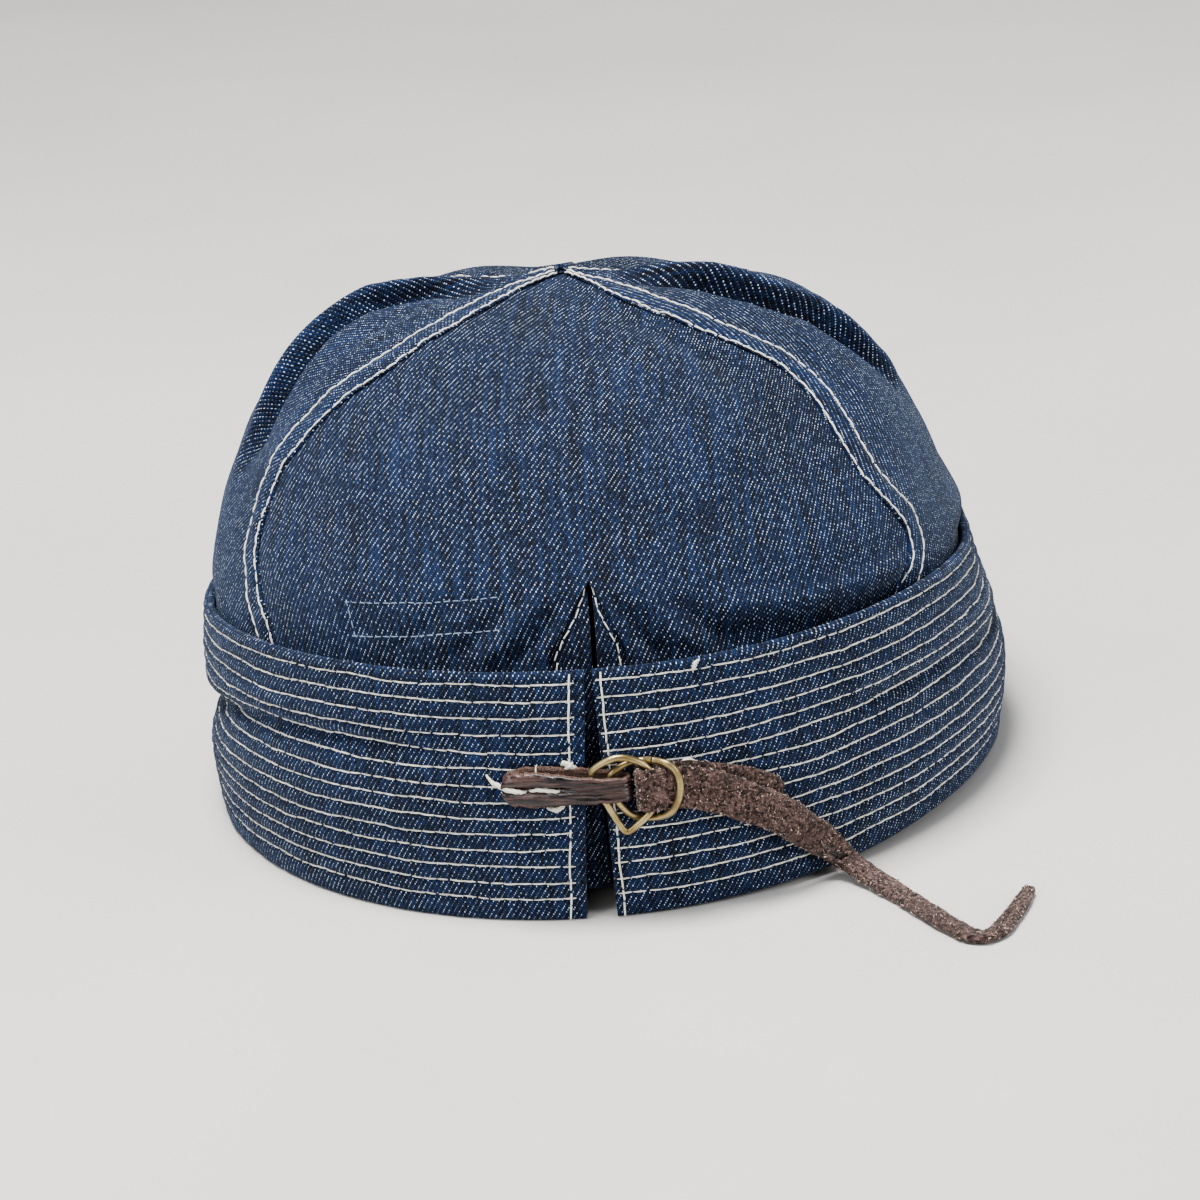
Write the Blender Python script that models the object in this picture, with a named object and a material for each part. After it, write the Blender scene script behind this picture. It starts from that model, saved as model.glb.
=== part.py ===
"""Soft denim sailor cap: a panelled crown inside a row-stitched band, closed at the back by a leather tab, two D rings and a strap.

Metres, +Z up, the closure at -Y, the brow at +Y. Angles psi run round the cap from the back, plus towards +X.
"""

import math

import bmesh
import bpy
import numpy as np
from mathutils import Vector

# The cap's own sizes
CROWN_HALF_WIDTH = 0.0895
CROWN_HALF_LENGTH = 0.103
CROWN_HEIGHT = 0.113
CROWN_POWER = 2.6
APEX_LEAN = -0.002
BAND_HALF_WIDTH = 0.0915
BAND_HALF_LENGTH = 0.105
BAND_HEIGHT = 0.055
BAND_WALL = 0.0024
DENIM = 0.0012
LIP = 0.0015
LEATHER = 0.0016
TAB_LEATHER = 0.0011
WIRE = 0.0015
GAP = 0.0003
HIDDEN_EASE = 0.0015
VENT_TOP = 0.0668
VENT_FOOT = 0.0562
VENT_PSI = 2.3
MM = 0.001

# Each seam line as (share of the way from hem to apex, psi in degrees)
SEAMS = {
    "left_back": [(0.0, -50), (0.22, -53.8), (0.275, -58.8), (0.34, -62.2), (0.41, -64.2), (0.49, -64),
        (0.57, -61.3), (0.64, -58), (0.71, -53.8), (0.81, -49.2), (0.93, -47.5), (1.0, -45)],
    "right_back": [(0.0, 50), (0.22, 52.8), (0.28, 59.5), (0.32, 59.5), (0.365, 57), (0.417, 56), (0.467,
        56.8), (0.527, 58), (0.584, 59), (0.632, 58), (0.697, 53.8), (0.777, 48), (0.877, 44), (1.0, 43.8)],
    "left_front": [(0.0, -127), (1.0, -130)],
    "right_front": [(0.0, 127), (1.0, 126)],
}

# Each fold of the crown: depth in millimetres (minus is a valley), its half width, then its line as (share, psi)
FOLDS = [
    (-2.6, 5.0, [(0.48, -79), (0.56, -82), (0.62, -86), (0.67, -90), (0.75, -94), (0.85, -92), (0.93, -80)]),
    (-2.6, 4.5, [(0.50, 89), (0.57, 88), (0.69, 86), (0.79, 84), (0.87, 81), (0.94, 80)]),
    (-1.3, 4.5, [(0.66, 42), (0.73, 38.5), (0.78, 34.5), (0.86, 30)]),
    (0.7, 4.0, [(0.74, 2), (0.85, 1), (0.97, -4)]),
]

# How far the sides puff out past the plain crown, in millimetres: (share, left, right)
PUFF = [(0.0, 1.0, 0.5), (0.2, 2.4, 0.6), (0.3, 2.6, -1.4), (0.4, 2.8, -0.4), (0.5, 2.9, 1.0), (0.6, 3.2,
        1.0),
        (0.75, 2.6, 0.2), (0.85, 1.0, -0.6), (0.95, 0.2, 0.0), (1.0, 0.3, 0.3)]

# How far the brow side of the crown slopes down below the plain crown, in millimetres, by share
DROP = [(0.0, 0), (0.45, 0), (0.6, 0.9), (0.7, 2.4), (0.8, 4.2), (0.88, 4.6), (0.94, 3.6), (0.975, 1.8),
        (1.0, 0)]

# The rolled ridge outside each of the first two folds: height, distance from the fold's line and half width, in mm
RIDGE_RISE, RIDGE_AWAY, RIDGE_HALF = 2.6, 5.5, 4.0

# The band by angle: (psi, height, lift of the rim, crease depth, crease place as a share, tuck of the upper edge) in mm
BAND = [
    (-180, 47, 0, 0, 0.5, 0.8), (-130, 46, 0, 0, 0.45, 0.6), (-110, 46, 0, 1.2, 0.45, 0.6), (-90, 46.5, 0,
    3.2, 0.47, 0.8), (-75, 49, 0, 2.4, 0.56, 0.4), (-61, 52, 0, 1.6, 0.65, 0.2),
    (-37, 54.4, 0, 1.1, 0.69, 0), (-15, 55, 0, 0.5, 0.70, 0), (0, 55, 0, 0, 0.68, 0), (15, 54.6, 0.4, 0,
    0.67, 0), (37, 54.4, 1.5, 0.9, 0.66, 0.3), (57, 53.5, 2.4, 1.5, 0.62, 1.6),
    (69, 51.5, 2.2, 1.2, 0.6, 3.2), (90, 46.5, 1.2, 0.4, 0.55, 5.2), (110, 46, 0.4, 0, 0.5, 3.0), (130, 46,
    0, 0, 0.5, 1.2), (180, 47, 0, 0, 0.5, 0.8),
]

# Leather and wire lines at the closure: x, distance off the band and height, all in millimetres
TONGUE = [(38.4, 1.4, 22.6, 4.6), (35.5, 1.3, 24.0, 7.6), (31, 1.3, 25.8, 8.4), (24, 1.2, 28.2, 8.8), (18,
          1.2, 29.4, 9.2), (13.6, 1.2, 29.8, 9.2)]
TAIL = [(13.2, 5.0, 29.8, 9.2), (15.6, 4.5, 29.6, 9.2), (18.4, 3.8, 29.2, 9.2), (22.4, 3.6, 27.9, 9.2), (28,
        3.5, 25.0, 8.8), (34.4, 3.5, 20.8, 8.4), (38.6, 3.0, 17.0, 8.1), (42.4, 2.2, 13.2, 7.6), (47, 1.5,
        8.6, 6.9)]
FOLD_X, FOLD_OFF, FOLD_Z, FOLD_RADIUS = 11.6, 3.1, 29.8, 1.9
FLOOR_TAIL = [(51.6, -89.6, 4.0, 6.4, 0.45), (56.2, -95.0, 2.0, 6.0, 0.9), (62.2, -104.4, 1.1, 5.6, 1.0),
              (66.9, -113.7, 1.1, 5.3, 1.0), (71.6, -122.5, 1.1, 5.0, 1.0), (75.5, -128.4, 1.1, 4.8, 1.0),
              (78.6, -130.0, 1.1, 4.6, 1.0), (81.4, -127.4, 1.1, 4.4, 1.0), (83.8, -122.1, 1.1, 4.2, 1.0),
              (86.3, -115.1, 1.1, 3.7, 1.0), (89.0, -107.0, 1.1, 2.6, 1.0)]
TAB = [(-20.5, 0.85, 30.7, 4.4), (-18, 0.85, 30.8, 7.4), (-12, 0.85, 31.0, 8.8), (-6, 0.85, 31.0, 8.6), (0,
       0.85, 30.8, 7.6), (4, 0.85, 30.6, 6.6), (6.2, 0.85, 30.5, 5.8)]
TAB_TOP = [(6.2, 4.3, 30.5, 5.8), (3, 4.3, 30.6, 6.8), (-1, 4.0, 30.8, 7.6), (-6, 3.2, 31.0, 8.6), (-12,
           2.5, 31.0, 8.8), (-18, 2.3, 30.8, 7.4), (-20.5, 2.25, 30.7, 4.4)]
RING_OUTER = [(0.5, 2.6, 33.1), (1.6, 2.7, 35.2), (5.8, 3.1, 37.0), (9.6, 3.1, 36.0), (12.4, 3.1, 33.4),
              (13.5, 3.1, 30.6), (13.3, 3.1, 27.6), (11.7, 3.1, 24.6), (9.2, 3.0, 22.2), (6.7, 2.8, 20.6),
              (5.3, 2.7, 22.4), (3.5, 2.6, 26.2), (2.0, 2.6, 29.6)]
RING_INNER = [(4.2, 2.45, 32.6), (5.6, 2.3, 34.4), (8.4, 1.3, 35.5), (11.2, 1.2, 35.8), (14.2, 3.2, 36.1),
              (17.0, 5.4, 35.8), (18.7, 5.9, 33.6), (19.0, 6.0, 30.6), (18.5, 6.1, 27.8), (17.0, 6.1, 25.2),
              (14.4, 3.4, 23.1), (11.2, 1.2, 22.6), (8.4, 1.3, 23.4), (6.3, 1.9, 25.6), (4.9, 2.45, 28.6)]

MATERIALS = {
    "denim": ((0.030, 0.055, 0.125), 0.85, 0.0),
    "leather": ((0.075, 0.040, 0.030), 0.45, 0.0),
    "suede": ((0.120, 0.075, 0.055), 0.90, 0.0),
    "brass": ((0.420, 0.340, 0.170), 0.35, 1.0),
}


def clear_scene():
    for obj in list(bpy.data.objects):
        bpy.data.objects.remove(obj, do_unlink=True)


def material(name, kind):
    colour, roughness, metallic = MATERIALS[kind]
    made = bpy.data.materials.new(name)
    made.use_nodes = True
    shader = made.node_tree.nodes["Principled BSDF"]
    shader.inputs["Base Color"].default_value = (*colour, 1)
    shader.inputs["Roughness"].default_value = roughness
    shader.inputs["Metallic"].default_value = metallic
    return made


def column(table, at, index):
    return float(np.interp(at, [row[0] for row in table], [row[index] for row in table]))


def ease(low, high, value):
    share = min(1.0, max(0.0, (value - low) / (high - low)))
    return share * share * (3 - 2 * share)


def band_radii(psi, height):
    """How far the outside of the band stands from the axis, as (half width, half length), at a height above
        the rim."""
    top, lift = column(BAND, psi, 1) * MM, column(BAND, psi, 2) * MM
    crease, place, tuck = column(BAND, psi, 3) * MM, column(BAND, psi, 4), column(BAND, psi, 5) * MM
    share = min(1.0, max(0.0, (height - lift) / (top - lift)))
    bulge = 0.0015 * (1 - (2 * share - 0.95) ** 2)
    dent = crease * math.exp(-(((share - place) / 0.13) ** 2))
    lower = 0.0012 * ease(25, 60, psi) * (1 - ease(90, 120, psi)) * (1 - ease(0, 0.3, share))
    inset = dent - bulge + tuck * ease(0.35, 1.0, share) + lower + 0.0015
    return BAND_HALF_WIDTH - inset, BAND_HALF_LENGTH - inset


def around(psi, radii, height):
    turn = math.radians(psi)
    return Vector((radii[0] * math.sin(turn), -radii[1] * math.cos(turn), height))


def band_point(psi, height, off=0.0):
    wide, long = band_radii(psi, height)
    return around(psi, (wide + off, long + off), height)


def band_normal(psi):
    turn = math.radians(psi)
    return Vector((math.sin(turn) / BAND_HALF_WIDTH, -math.cos(turn) / BAND_HALF_LENGTH, 0)).normalized()


def crown_height(share):
    return CROWN_HEIGHT * math.sin(share * math.pi / 2) ** (2 / CROWN_POWER)


def fold_depth(psi, share):
    """How far the cloth stands off the plain crown, in metres."""
    side = 1 if psi < 0 else 2
    open_side = ease(52, 84, abs(psi)) * (1 - 0.75 * ease(125, 175, abs(psi)))
    total = column(PUFF, share, side) * open_side
    total += 2.0 * (1 - ease(48, 80, abs(psi))) * math.exp(-(((share - 0.33) / 0.07) ** 2))
    total -= column(DROP, share, 1) * ease(95, 130, abs(psi))
    girth = math.cos(share * math.pi / 2) ** (2 / CROWN_POWER) * 96
    for way, (depth, half, line) in ((1, FOLDS[0]), (-1, FOLDS[1])):
        start, end = line[0][0], line[-1][0]
        along = ease(start - 0.1, start + 0.1, share) * (1 - ease(end - 0.04, end + 0.05, share))
        across = (math.radians(psi - column(line, share, 1)) * girth * way + RIDGE_AWAY) / RIDGE_HALF
        total += RIDGE_RISE * math.exp(-across * across) * along
    for depth, half, line in FOLDS:
        start, end = line[0][0], line[-1][0]
        along = ease(start - 0.12, start + 0.06, share) * (1 - ease(end - 0.05, end + 0.06, share))
        if along > 0:
            across = math.radians(psi - column(line, share, 1)) * girth / half
            total += depth * along * math.exp(-across * across)
    if abs(psi) > 70:
        total += 0.8 * math.sin(math.radians(psi * 7 + 40)) * ease(0.3, 0.5, share) * (1 - ease(0.8, 1.0, share))
    return total * MM


def crown_point(psi, share, inset=0.0):
    """A point of the crown's cloth; inset 0 is the outer face."""
    angle = share * math.pi / 2
    height = crown_height(share)
    girth = math.cos(angle) ** (2 / CROWN_POWER)
    level = (height / CROWN_HEIGHT) ** (CROWN_POWER - 1) / CROWN_HEIGHT
    out = girth ** (CROWN_POWER - 1) / CROWN_HALF_WIDTH
    size = math.hypot(level, out)
    out, level = out / size, level / size
    push = fold_depth(psi, share) - inset
    wide = CROWN_HALF_WIDTH * girth + push * out
    long = CROWN_HALF_LENGTH * girth + push * out
    top = column(BAND, psi, 1) * MM
    free = ease(top + 0.0012, top + 0.0075, height)
    if free < 1:
        inner = band_radii(psi, min(height, top - 0.0005))
        held = BAND_WALL + GAP + HIDDEN_EASE * (1 - ease(0.72, 0.9, height / top)) + inset
        held_wide, held_long = inner[0] - held, inner[1] - held
        wide, long = wide * free + min(held_wide, wide) * (1 - free), long * free + min(held_long, long) * (1 - free)
    point = around(psi, (wide, long), height + push * level)
    point.x += APEX_LEAN * max(0.0, (height - top) / (CROWN_HEIGHT - top)) ** 1.2
    return point


def shell(name, grids, kind):
    """A closed skin from grids of (outer, inner) point pairs; grids that share an edge become one cloth."""
    index, outer, inner, quads = {}, [], [], []
    for grid in grids:
        ids = []
        for row in grid:
            line = []
            for out, back in row:
                key = tuple(round(value, 7) for value in out)
                if key not in index:
                    index[key] = len(outer)
                    outer.append(out)
                    inner.append(back)
                line.append(index[key])
            ids.append(line)
        for low, high in zip(ids, ids[1:]):
            for a, b, c, d in zip(low, low[1:], high[1:], high):
                corners = [v for i, v in enumerate((a, b, c, d)) if v != (a, b, c, d)[i - 1]]
                if len(set(corners)) > 2:
                    quads.append(corners)
    count = len(outer)
    edges = {}
    for quad in quads:
        for a, b in zip(quad, quad[1:] + quad[:1]):
            edges[(a, b)] = edges.get((a, b), 0) + 1
    faces = list(quads) + [[count + v for v in reversed(quad)] for quad in quads]
    faces += [[b, a, count + a, count + b] for a, b in edges if (b, a) not in edges]
    return body(name, outer + inner, faces, kind)


def body(name, points, faces, kind):
    mesh = bpy.data.meshes.new(name)
    mesh.from_pydata([tuple(point) for point in points], [], faces)
    obj = bpy.data.objects.new(name, mesh)
    bpy.context.scene.collection.objects.link(obj)
    work = bmesh.new()
    work.from_mesh(mesh)
    bmesh.ops.recalc_face_normals(work, faces=work.faces)
    if work.calc_volume(signed=True) < 0:
        bmesh.ops.reverse_faces(work, faces=work.faces)
    work.to_mesh(mesh)
    work.free()
    mesh.materials.append(material(name, kind))
    return obj


def row_share(row, psi):
    """A row is ("held", share of the way up inside the band), ("over", share past its top edge) or ("free",
        share)."""
    kind, value = row
    if kind == "free":
        return value
    top = share_of(column(BAND, psi, 1) * MM + 0.0012)
    return top * value if kind == "held" else top + value


LOW_ROWS = [("held", v) for v in (0.05, 0.25, 0.45, 0.62, 0.78, 0.90, 1.0)] + [("over", v) for v in (0.008,
            0.018, 0.030, 0.050)]
HIGH_ROWS = [("free", v) for v in (0.335, 0.37, 0.42, 0.47, 0.53, 0.59, 0.65, 0.71, 0.77, 0.83, 0.89, 0.94,
             0.975, 0.993)]


def seam_psi(seam, row, side):
    """The cloth's edge along a seam at one row, half a gap to one side of the line."""
    share = row_share(row, SEAMS[seam][0][1])
    girth = 96 * math.cos(share * math.pi / 2) ** (2 / CROWN_POWER)
    return column(SEAMS[seam], share, 1) + side * math.degrees(0.22 / max(girth, 1.0))


def panel(name, left, right, columns, wrap=0):
    grid = []
    for line in LOW_ROWS + HIGH_ROWS:
        start, end = seam_psi(left, line, 1), seam_psi(right, line, -1) + wrap
        row = []
        for step in range(columns + 1):
            psi = (start + (end - start) * step / columns + 180) % 360 - 180
            share = row_share(line, psi)
            row.append((crown_point(psi, share), crown_point(psi, share, DENIM)))
        grid.append(row)
    return shell(name, [grid], "denim")


def vent_edges(height):
    """Where the back panel is cut away for the vent, as (left psi, right psi)."""
    spread = min(1.0, max(0.0, (VENT_TOP - height) / (VENT_TOP - VENT_FOOT)))
    return VENT_PSI - 6.8 * spread, VENT_PSI + 4.2 * spread


def share_of(height):
    return math.asin((height / CROWN_HEIGHT) ** (CROWN_POWER / 2)) * 2 / math.pi


def back_panel(name):
    """The back panel, with the vent's notch running down to its hem."""
    tip = HIGH_ROWS[0][1]
    halves = []
    for side in (0, 1):
        grid = []
        for line in LOW_ROWS + HIGH_ROWS:
            share = row_share(line, VENT_PSI)
            middle = vent_edges(crown_height(share))[side] if share < tip else VENT_PSI
            start = seam_psi("left_back", line, 1) if side == 0 else middle
            end = middle if side == 0 else seam_psi("right_back", line, -1)
            row = []
            for step in range(9):
                psi = start + (end - start) * step / 8
                share = row_share(line, psi)
                row.append((crown_point(psi, share), crown_point(psi, share, DENIM)))
            grid.append(row)
        halves.append(grid)
    return shell(name, halves, "denim")


def vent_facing(name, side):
    """One folded edge of the vent: it fills its half of the notch and stands back from the panel's face."""
    grid = []
    for height in (0.0050, 0.0180, 0.0320, 0.0420, 0.0500, VENT_FOOT, 0.0580, 0.0605, 0.0630, 0.0648):
        edge = vent_edges(height)[side]
        slit = 1.75 + 0.55 * ease(0.045, VENT_TOP, height)
        outer, inner = (edge + 0.24, slit - 0.35) if side == 0 else (slit + 0.35, edge - 0.24)
        share = share_of(height)
        row = []
        for step in range(5):
            psi = outer + (inner - outer) * step / 4
            row.append((crown_point(psi, share, 0.0005), crown_point(psi, share, 0.0005 + DENIM)))
        grid.append(row)
    return shell(name, [grid], "denim")


def band(name):
    """The turned-up band: a doubled wall with a lip inside its rim, open at the back."""
    levels = [0.03, 0.10, 0.22, 0.34, 0.46, 0.56, 0.66, 0.76, 0.88, 0.97]
    columns = 56
    rings = []
    for step in range(columns + 1):
        share = step / columns
        ring = []

        def psi_at(level):
            start, end = 2.0 - 0.5 * level, 360 - 2.2 + 2.7 * level
            psi = start + (end - start) * share
            return psi if psi <= 180 else psi - 360

        def place(level, off):
            psi = psi_at(level)
            top, lift = column(BAND, psi, 1) * MM, column(BAND, psi, 2) * MM
            height = lift + (top - lift) * level
            return band_point(psi, height, off)

        wall = -BAND_WALL
        ring.append(place(0.0, -0.0006))
        ring += [place(level, 0) for level in levels]
        ring.append(place(1.0, -0.0007))
        ring.append(place(1.0, wall + 0.0005))
        ring += [place(level, wall) for level in reversed(levels[1:])]
        thick = Vector((0, 0, 0.0013))
        ring += [place(0.0, wall) + thick, place(0.0, wall - LIP) + thick, place(0.0, wall - LIP)]
        rings.append(ring)
    return tube(name, rings, "denim", closed=False)


def tube(name, rings, kind, closed):
    points = [point for ring in rings for point in ring]
    size, count = len(rings[0]), len(rings)
    faces = []
    for i in range(count if closed else count - 1):
        a, b = i * size, (i + 1) % count * size
        for j in range(size):
            k = (j + 1) % size
            faces.append([a + j, a + k, b + k, b + j])
    if not closed:
        faces.append(list(range(size)))
        faces.append([(count - 1) * size + j for j in reversed(range(size))])
    return body(name, points, faces, kind)


def smooth(rows, steps, closed=False):
    """Catmull-Rom through the rows, which may hold any number of columns."""
    rows = np.array(rows, float)
    count = len(rows)
    made = []
    for i in range(count if closed else count - 1):
        if closed:
            p = [rows[(i + k) % count] for k in (-1, 0, 1, 2)]
        else:
            p = [rows[max(i - 1, 0)], rows[i], rows[i + 1], rows[min(i + 2, count - 1)]]
        for step in range(steps):
            t = step / steps
            made.append(0.5 * (2 * p[1] + (p[2] - p[0]) * t + (2 * p[0] - 5 * p[1] + 4 * p[2] - p[3]) * t * t + (3 * p[1] - p[0] - 3 * p[2] + p[3]) * t ** 3))
    if not closed:
        made.append(rows[-1])
    return made


def closure_point(x, off, z):
    """A place by the closure, from x, the distance off the band and the height, all in millimetres."""
    psi = math.degrees(math.asin(x * MM / BAND_HALF_WIDTH))
    return band_point(psi, z * MM) + band_normal(psi) * off * MM, band_normal(psi)


def ribbon(name, stations, thick, kind):
    """A flat strip along stations of (place, back face direction, width)."""
    rings = []
    for i, (place, face, width) in enumerate(stations):
        ahead, behind = stations[min(i + 1, len(stations) - 1)][0], stations[max(i - 1, 0)][0]
        along = (ahead - behind).normalized()
        side = face.cross(along).normalized()
        face = along.cross(side).normalized()
        half, deep, bevel = width / 2, thick / 2, thick * 0.28
        flat, tall = (half - bevel, deep), (half, deep - bevel)
        ring = []
        for a, b, corners in ((1, 1, (flat, tall)), (1, -1, (tall, flat)), (-1, -1, (flat, tall)), (-1, 1, (tall, flat))):
            ring += [place + side * a * u + face * b * v for u, v in corners]
        rings.append(ring)
    return tube(name, rings, kind, closed=False)


def strap(name):
    stations = []
    for x, off, z, width in smooth(TONGUE, 2):
        place, normal = closure_point(x, off, z)
        stations.append((place, normal, width * MM))
    for step in range(1, 8):
        turn = math.pi * step / 8
        x = FOLD_X - FOLD_RADIUS * math.sin(turn)
        off = FOLD_OFF - FOLD_RADIUS * math.cos(turn)
        place, normal = closure_point(x, off, FOLD_Z)
        stations.append((place, normal * math.cos(turn) + Vector((1, 0, 0)) * math.sin(turn), TAIL[0][3] * MM))
    for x, off, z, width in smooth(TAIL, 2):
        place, normal = closure_point(x, off, z)
        stations.append((place, -normal, width * MM))
    side = band_normal(34)
    for x, y, z, width, laid in smooth(FLOOR_TAIL, 2):
        down = (-side * (1 - laid) + Vector((0, 0, -1)) * laid).normalized()
        stations.append((Vector((x, y, z)) * MM, down, width * MM))
    return ribbon(name, stations, LEATHER, "suede")


def loop_tab(name):
    stations = []
    for x, off, z, width in smooth(TAB, 2):
        place, normal = closure_point(x, off, z)
        stations.append((place, -normal, width * MM))
    x0, low, z, width = TAB[-1]
    radius = (TAB_TOP[0][1] - low) / 2
    for step in range(1, 8):
        turn = math.pi * step / 8
        place, normal = closure_point(x0 + radius * math.sin(turn), low + radius - radius * math.cos(turn), z)
        stations.append((place, -normal * math.cos(turn) + Vector((1, 0, 0)) * math.sin(turn), width * MM))
    for x, off, z, width in smooth(TAB_TOP, 2):
        place, normal = closure_point(x, off, z)
        stations.append((place, normal, width * MM))
    return ribbon(name, stations, TAB_LEATHER, "leather")


def wire_ring(name, line):
    centres = [closure_point(*row)[0] for row in smooth(line, 3, closed=True)]
    count = len(centres)
    rings = []
    for i, centre in enumerate(centres):
        along = (centres[(i + 1) % count] - centres[i - 1]).normalized()
        first = along.cross(Vector((0.05, -1, 0.1))).normalized()
        second = along.cross(first)
        rings.append([centre + (first * math.cos(a) + second * math.sin(a)) * WIRE / 2 for a in [math.tau * k / 8 for k in range(8)]])
    return tube(name, rings, "brass", closed=True)


def shift_to_middle():
    """Moves the whole cap so that its origin lies under the middle of its box."""
    points = np.array([vertex.co for obj in bpy.data.objects for vertex in obj.data.vertices])
    low, high = points.min(axis=0), points.max(axis=0)
    move = Vector((-(low[0] + high[0]) / 2, -(low[1] + high[1]) / 2, -low[2]))
    for obj in bpy.data.objects:
        for vertex in obj.data.vertices:
            vertex.co += move
    print("moved by", [round(value * 1000, 3) for value in move])


clear_scene()
back_panel("crown_panel_back")
panel("crown_panel_left", "left_front", "left_back", 16)
panel("crown_panel_right", "right_back", "right_front", 16)
panel("crown_panel_front", "right_front", "left_front", 14, wrap=360)
vent_facing("vent_facing_left", 0)
vent_facing("vent_facing_right", 1)
band("band")
loop_tab("loop_tab")
wire_ring("d_ring_outer", RING_OUTER)
wire_ring("d_ring_inner", RING_INNER)
strap("strap")
shift_to_middle()
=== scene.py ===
import math
from functools import partial

import bpy
import numpy as np
from mathutils import Matrix, Vector


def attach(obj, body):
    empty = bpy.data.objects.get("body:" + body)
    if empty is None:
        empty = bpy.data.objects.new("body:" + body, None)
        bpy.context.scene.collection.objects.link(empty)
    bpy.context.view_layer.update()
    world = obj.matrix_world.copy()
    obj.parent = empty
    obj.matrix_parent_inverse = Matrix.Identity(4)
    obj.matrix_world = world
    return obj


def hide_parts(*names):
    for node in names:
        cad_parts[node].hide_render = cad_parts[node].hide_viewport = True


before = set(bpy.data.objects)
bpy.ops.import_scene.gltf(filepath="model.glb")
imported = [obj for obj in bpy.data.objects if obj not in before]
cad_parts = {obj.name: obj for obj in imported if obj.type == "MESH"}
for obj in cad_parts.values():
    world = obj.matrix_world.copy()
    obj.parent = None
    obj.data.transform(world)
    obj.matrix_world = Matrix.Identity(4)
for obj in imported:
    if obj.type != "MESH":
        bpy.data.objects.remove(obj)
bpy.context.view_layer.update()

# Camera, light and floor. The cap stands on a pale seamless floor under a large soft overhead light,
# seen from behind and a little above, with the slight roll of a hand-held view of its closure.
SHIFT = np.array([-0.000161, 0.013659, 0.0])
LENS, SENSOR, PHOTO_WIDTH = 132, 36, 1200
AIM_HEIGHT, AIM_ACROSS, AIM_DOWN = 0.062, 10, 110
TURN, RISE, ROLL = (math.radians(angle) for angle in (3, 17, 5.2))


def place_light(name, at, size, power, colour=(1, 1, 1)):
    lamp = bpy.data.lights.new(name, "AREA")
    lamp.shape, lamp.size, lamp.energy, lamp.color = "DISK", size, power, colour
    obj = bpy.data.objects.new(name, lamp)
    obj.location = at
    obj.rotation_euler = (Vector((0, 0, 0.05)) - obj.location).to_track_quat("-Z", "Y").to_euler()
    bpy.context.scene.collection.objects.link(obj)


def placed(name, mesh):
    """An object at the origin that shows a mesh."""
    obj = bpy.data.objects.new(name, mesh)
    bpy.context.scene.collection.objects.link(obj)
    return obj


def new_material(name):
    made = bpy.data.materials.new(name)
    made.use_nodes = True
    return made, made.node_tree, made.node_tree.nodes["Principled BSDF"]


def feed(tree, socket, value):
    """Links an output to a socket, or sets the socket to a value; None leaves it alone."""
    if isinstance(value, bpy.types.NodeSocket):
        tree.links.new(value, socket)
    elif value is not None:
        socket.default_value = value


def add(tree, kind, *values, **settings):
    """Adds a node, feeds its inputs in order and returns its first output."""
    node = tree.nodes.new(kind)
    for key, value in settings.items():
        setattr(node, key, value)
    for socket, value in zip(node.inputs, values):
        feed(tree, socket, value)
    return node.outputs[0]


def place_on(tree):
    """The place on a piece, in metres."""
    return tree.nodes.new("ShaderNodeTexCoord").outputs["Object"]


def noise(tree, place, scale, detail):
    return add(tree, "ShaderNodeTexNoise", place, None, scale, detail)


def mixed(tree, share, first, second):
    """A colour between two others."""
    node = tree.nodes.new("ShaderNodeMix")
    node.data_type = "RGBA"
    feed(tree, node.inputs[0], share)
    for socket, colour in ((node.inputs[6], first), (node.inputs[7], second)):
        feed(tree, socket, colour if isinstance(colour, bpy.types.NodeSocket) else (*colour, 1))
    return node.outputs[2]


def dress(tree, shader, finish):
    """Feeds the shader's inputs by name."""
    for key, value in finish.items():
        feed(tree, shader.inputs[key], value)


scene = bpy.context.scene
scene.view_settings.view_transform = "AgX"
scene.view_settings.look = "AgX - Medium High Contrast"
scene.view_settings.exposure = 0.35

world = bpy.data.worlds.new("room")
world.use_nodes = True
world.node_tree.nodes["Background"].inputs[0].default_value = (0.93, 0.95, 1.0, 1)
world.node_tree.nodes["Background"].inputs[1].default_value = 0.34
scene.world = world
place_light("overhead", (-0.2, -0.15, 1.5), 0.7, 30, (1.0, 0.985, 0.96))
place_light("front_left", (-1.1, -1.1, 1.0), 0.7, 6)
place_light("front_right", (1.3, -0.9, 0.7), 0.9, 8)

camera = placed("camera", bpy.data.cameras.new("camera"))
camera.data.lens, camera.data.sensor_width = LENS, SENSOR
camera.data.clip_start, camera.data.clip_end = 0.05, 60
away = Vector((math.sin(TURN) * math.cos(RISE), -math.cos(TURN) * math.cos(RISE), math.sin(RISE)))
camera.location = Vector(SHIFT) + Vector((0, 0, AIM_HEIGHT)) + away
right = Vector((math.cos(TURN), math.sin(TURN), 0))
over = away.cross(right)
across = right * math.cos(ROLL) - over * math.sin(ROLL)
up = over * math.cos(ROLL) + right * math.sin(ROLL)
back = (away * (PHOTO_WIDTH * LENS / SENSOR) - across * AIM_ACROSS + up * AIM_DOWN).normalized()
across = up.cross(back).normalized()
camera.rotation_euler = Matrix((across, back.cross(across), back)).transposed().to_euler()
scene.camera = camera

floor_mesh = bpy.data.meshes.new("floor")
floor_mesh.from_pydata([(-9, -9, 0), (9, -9, 0), (9, 9, 0), (-9, 9, 0)], [], [(0, 1, 2, 3)])
floor = placed("floor", floor_mesh)
paint, tree, shader = new_material("floor")
cloud = noise(tree, place_on(tree), 7.0, 5.0)
dress(tree, shader, {"Base Color": mixed(tree, cloud, (0.60, 0.585, 0.56), (0.72, 0.71, 0.69)),
                     "Roughness": 0.8})
floor_mesh.materials.append(paint)

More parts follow.
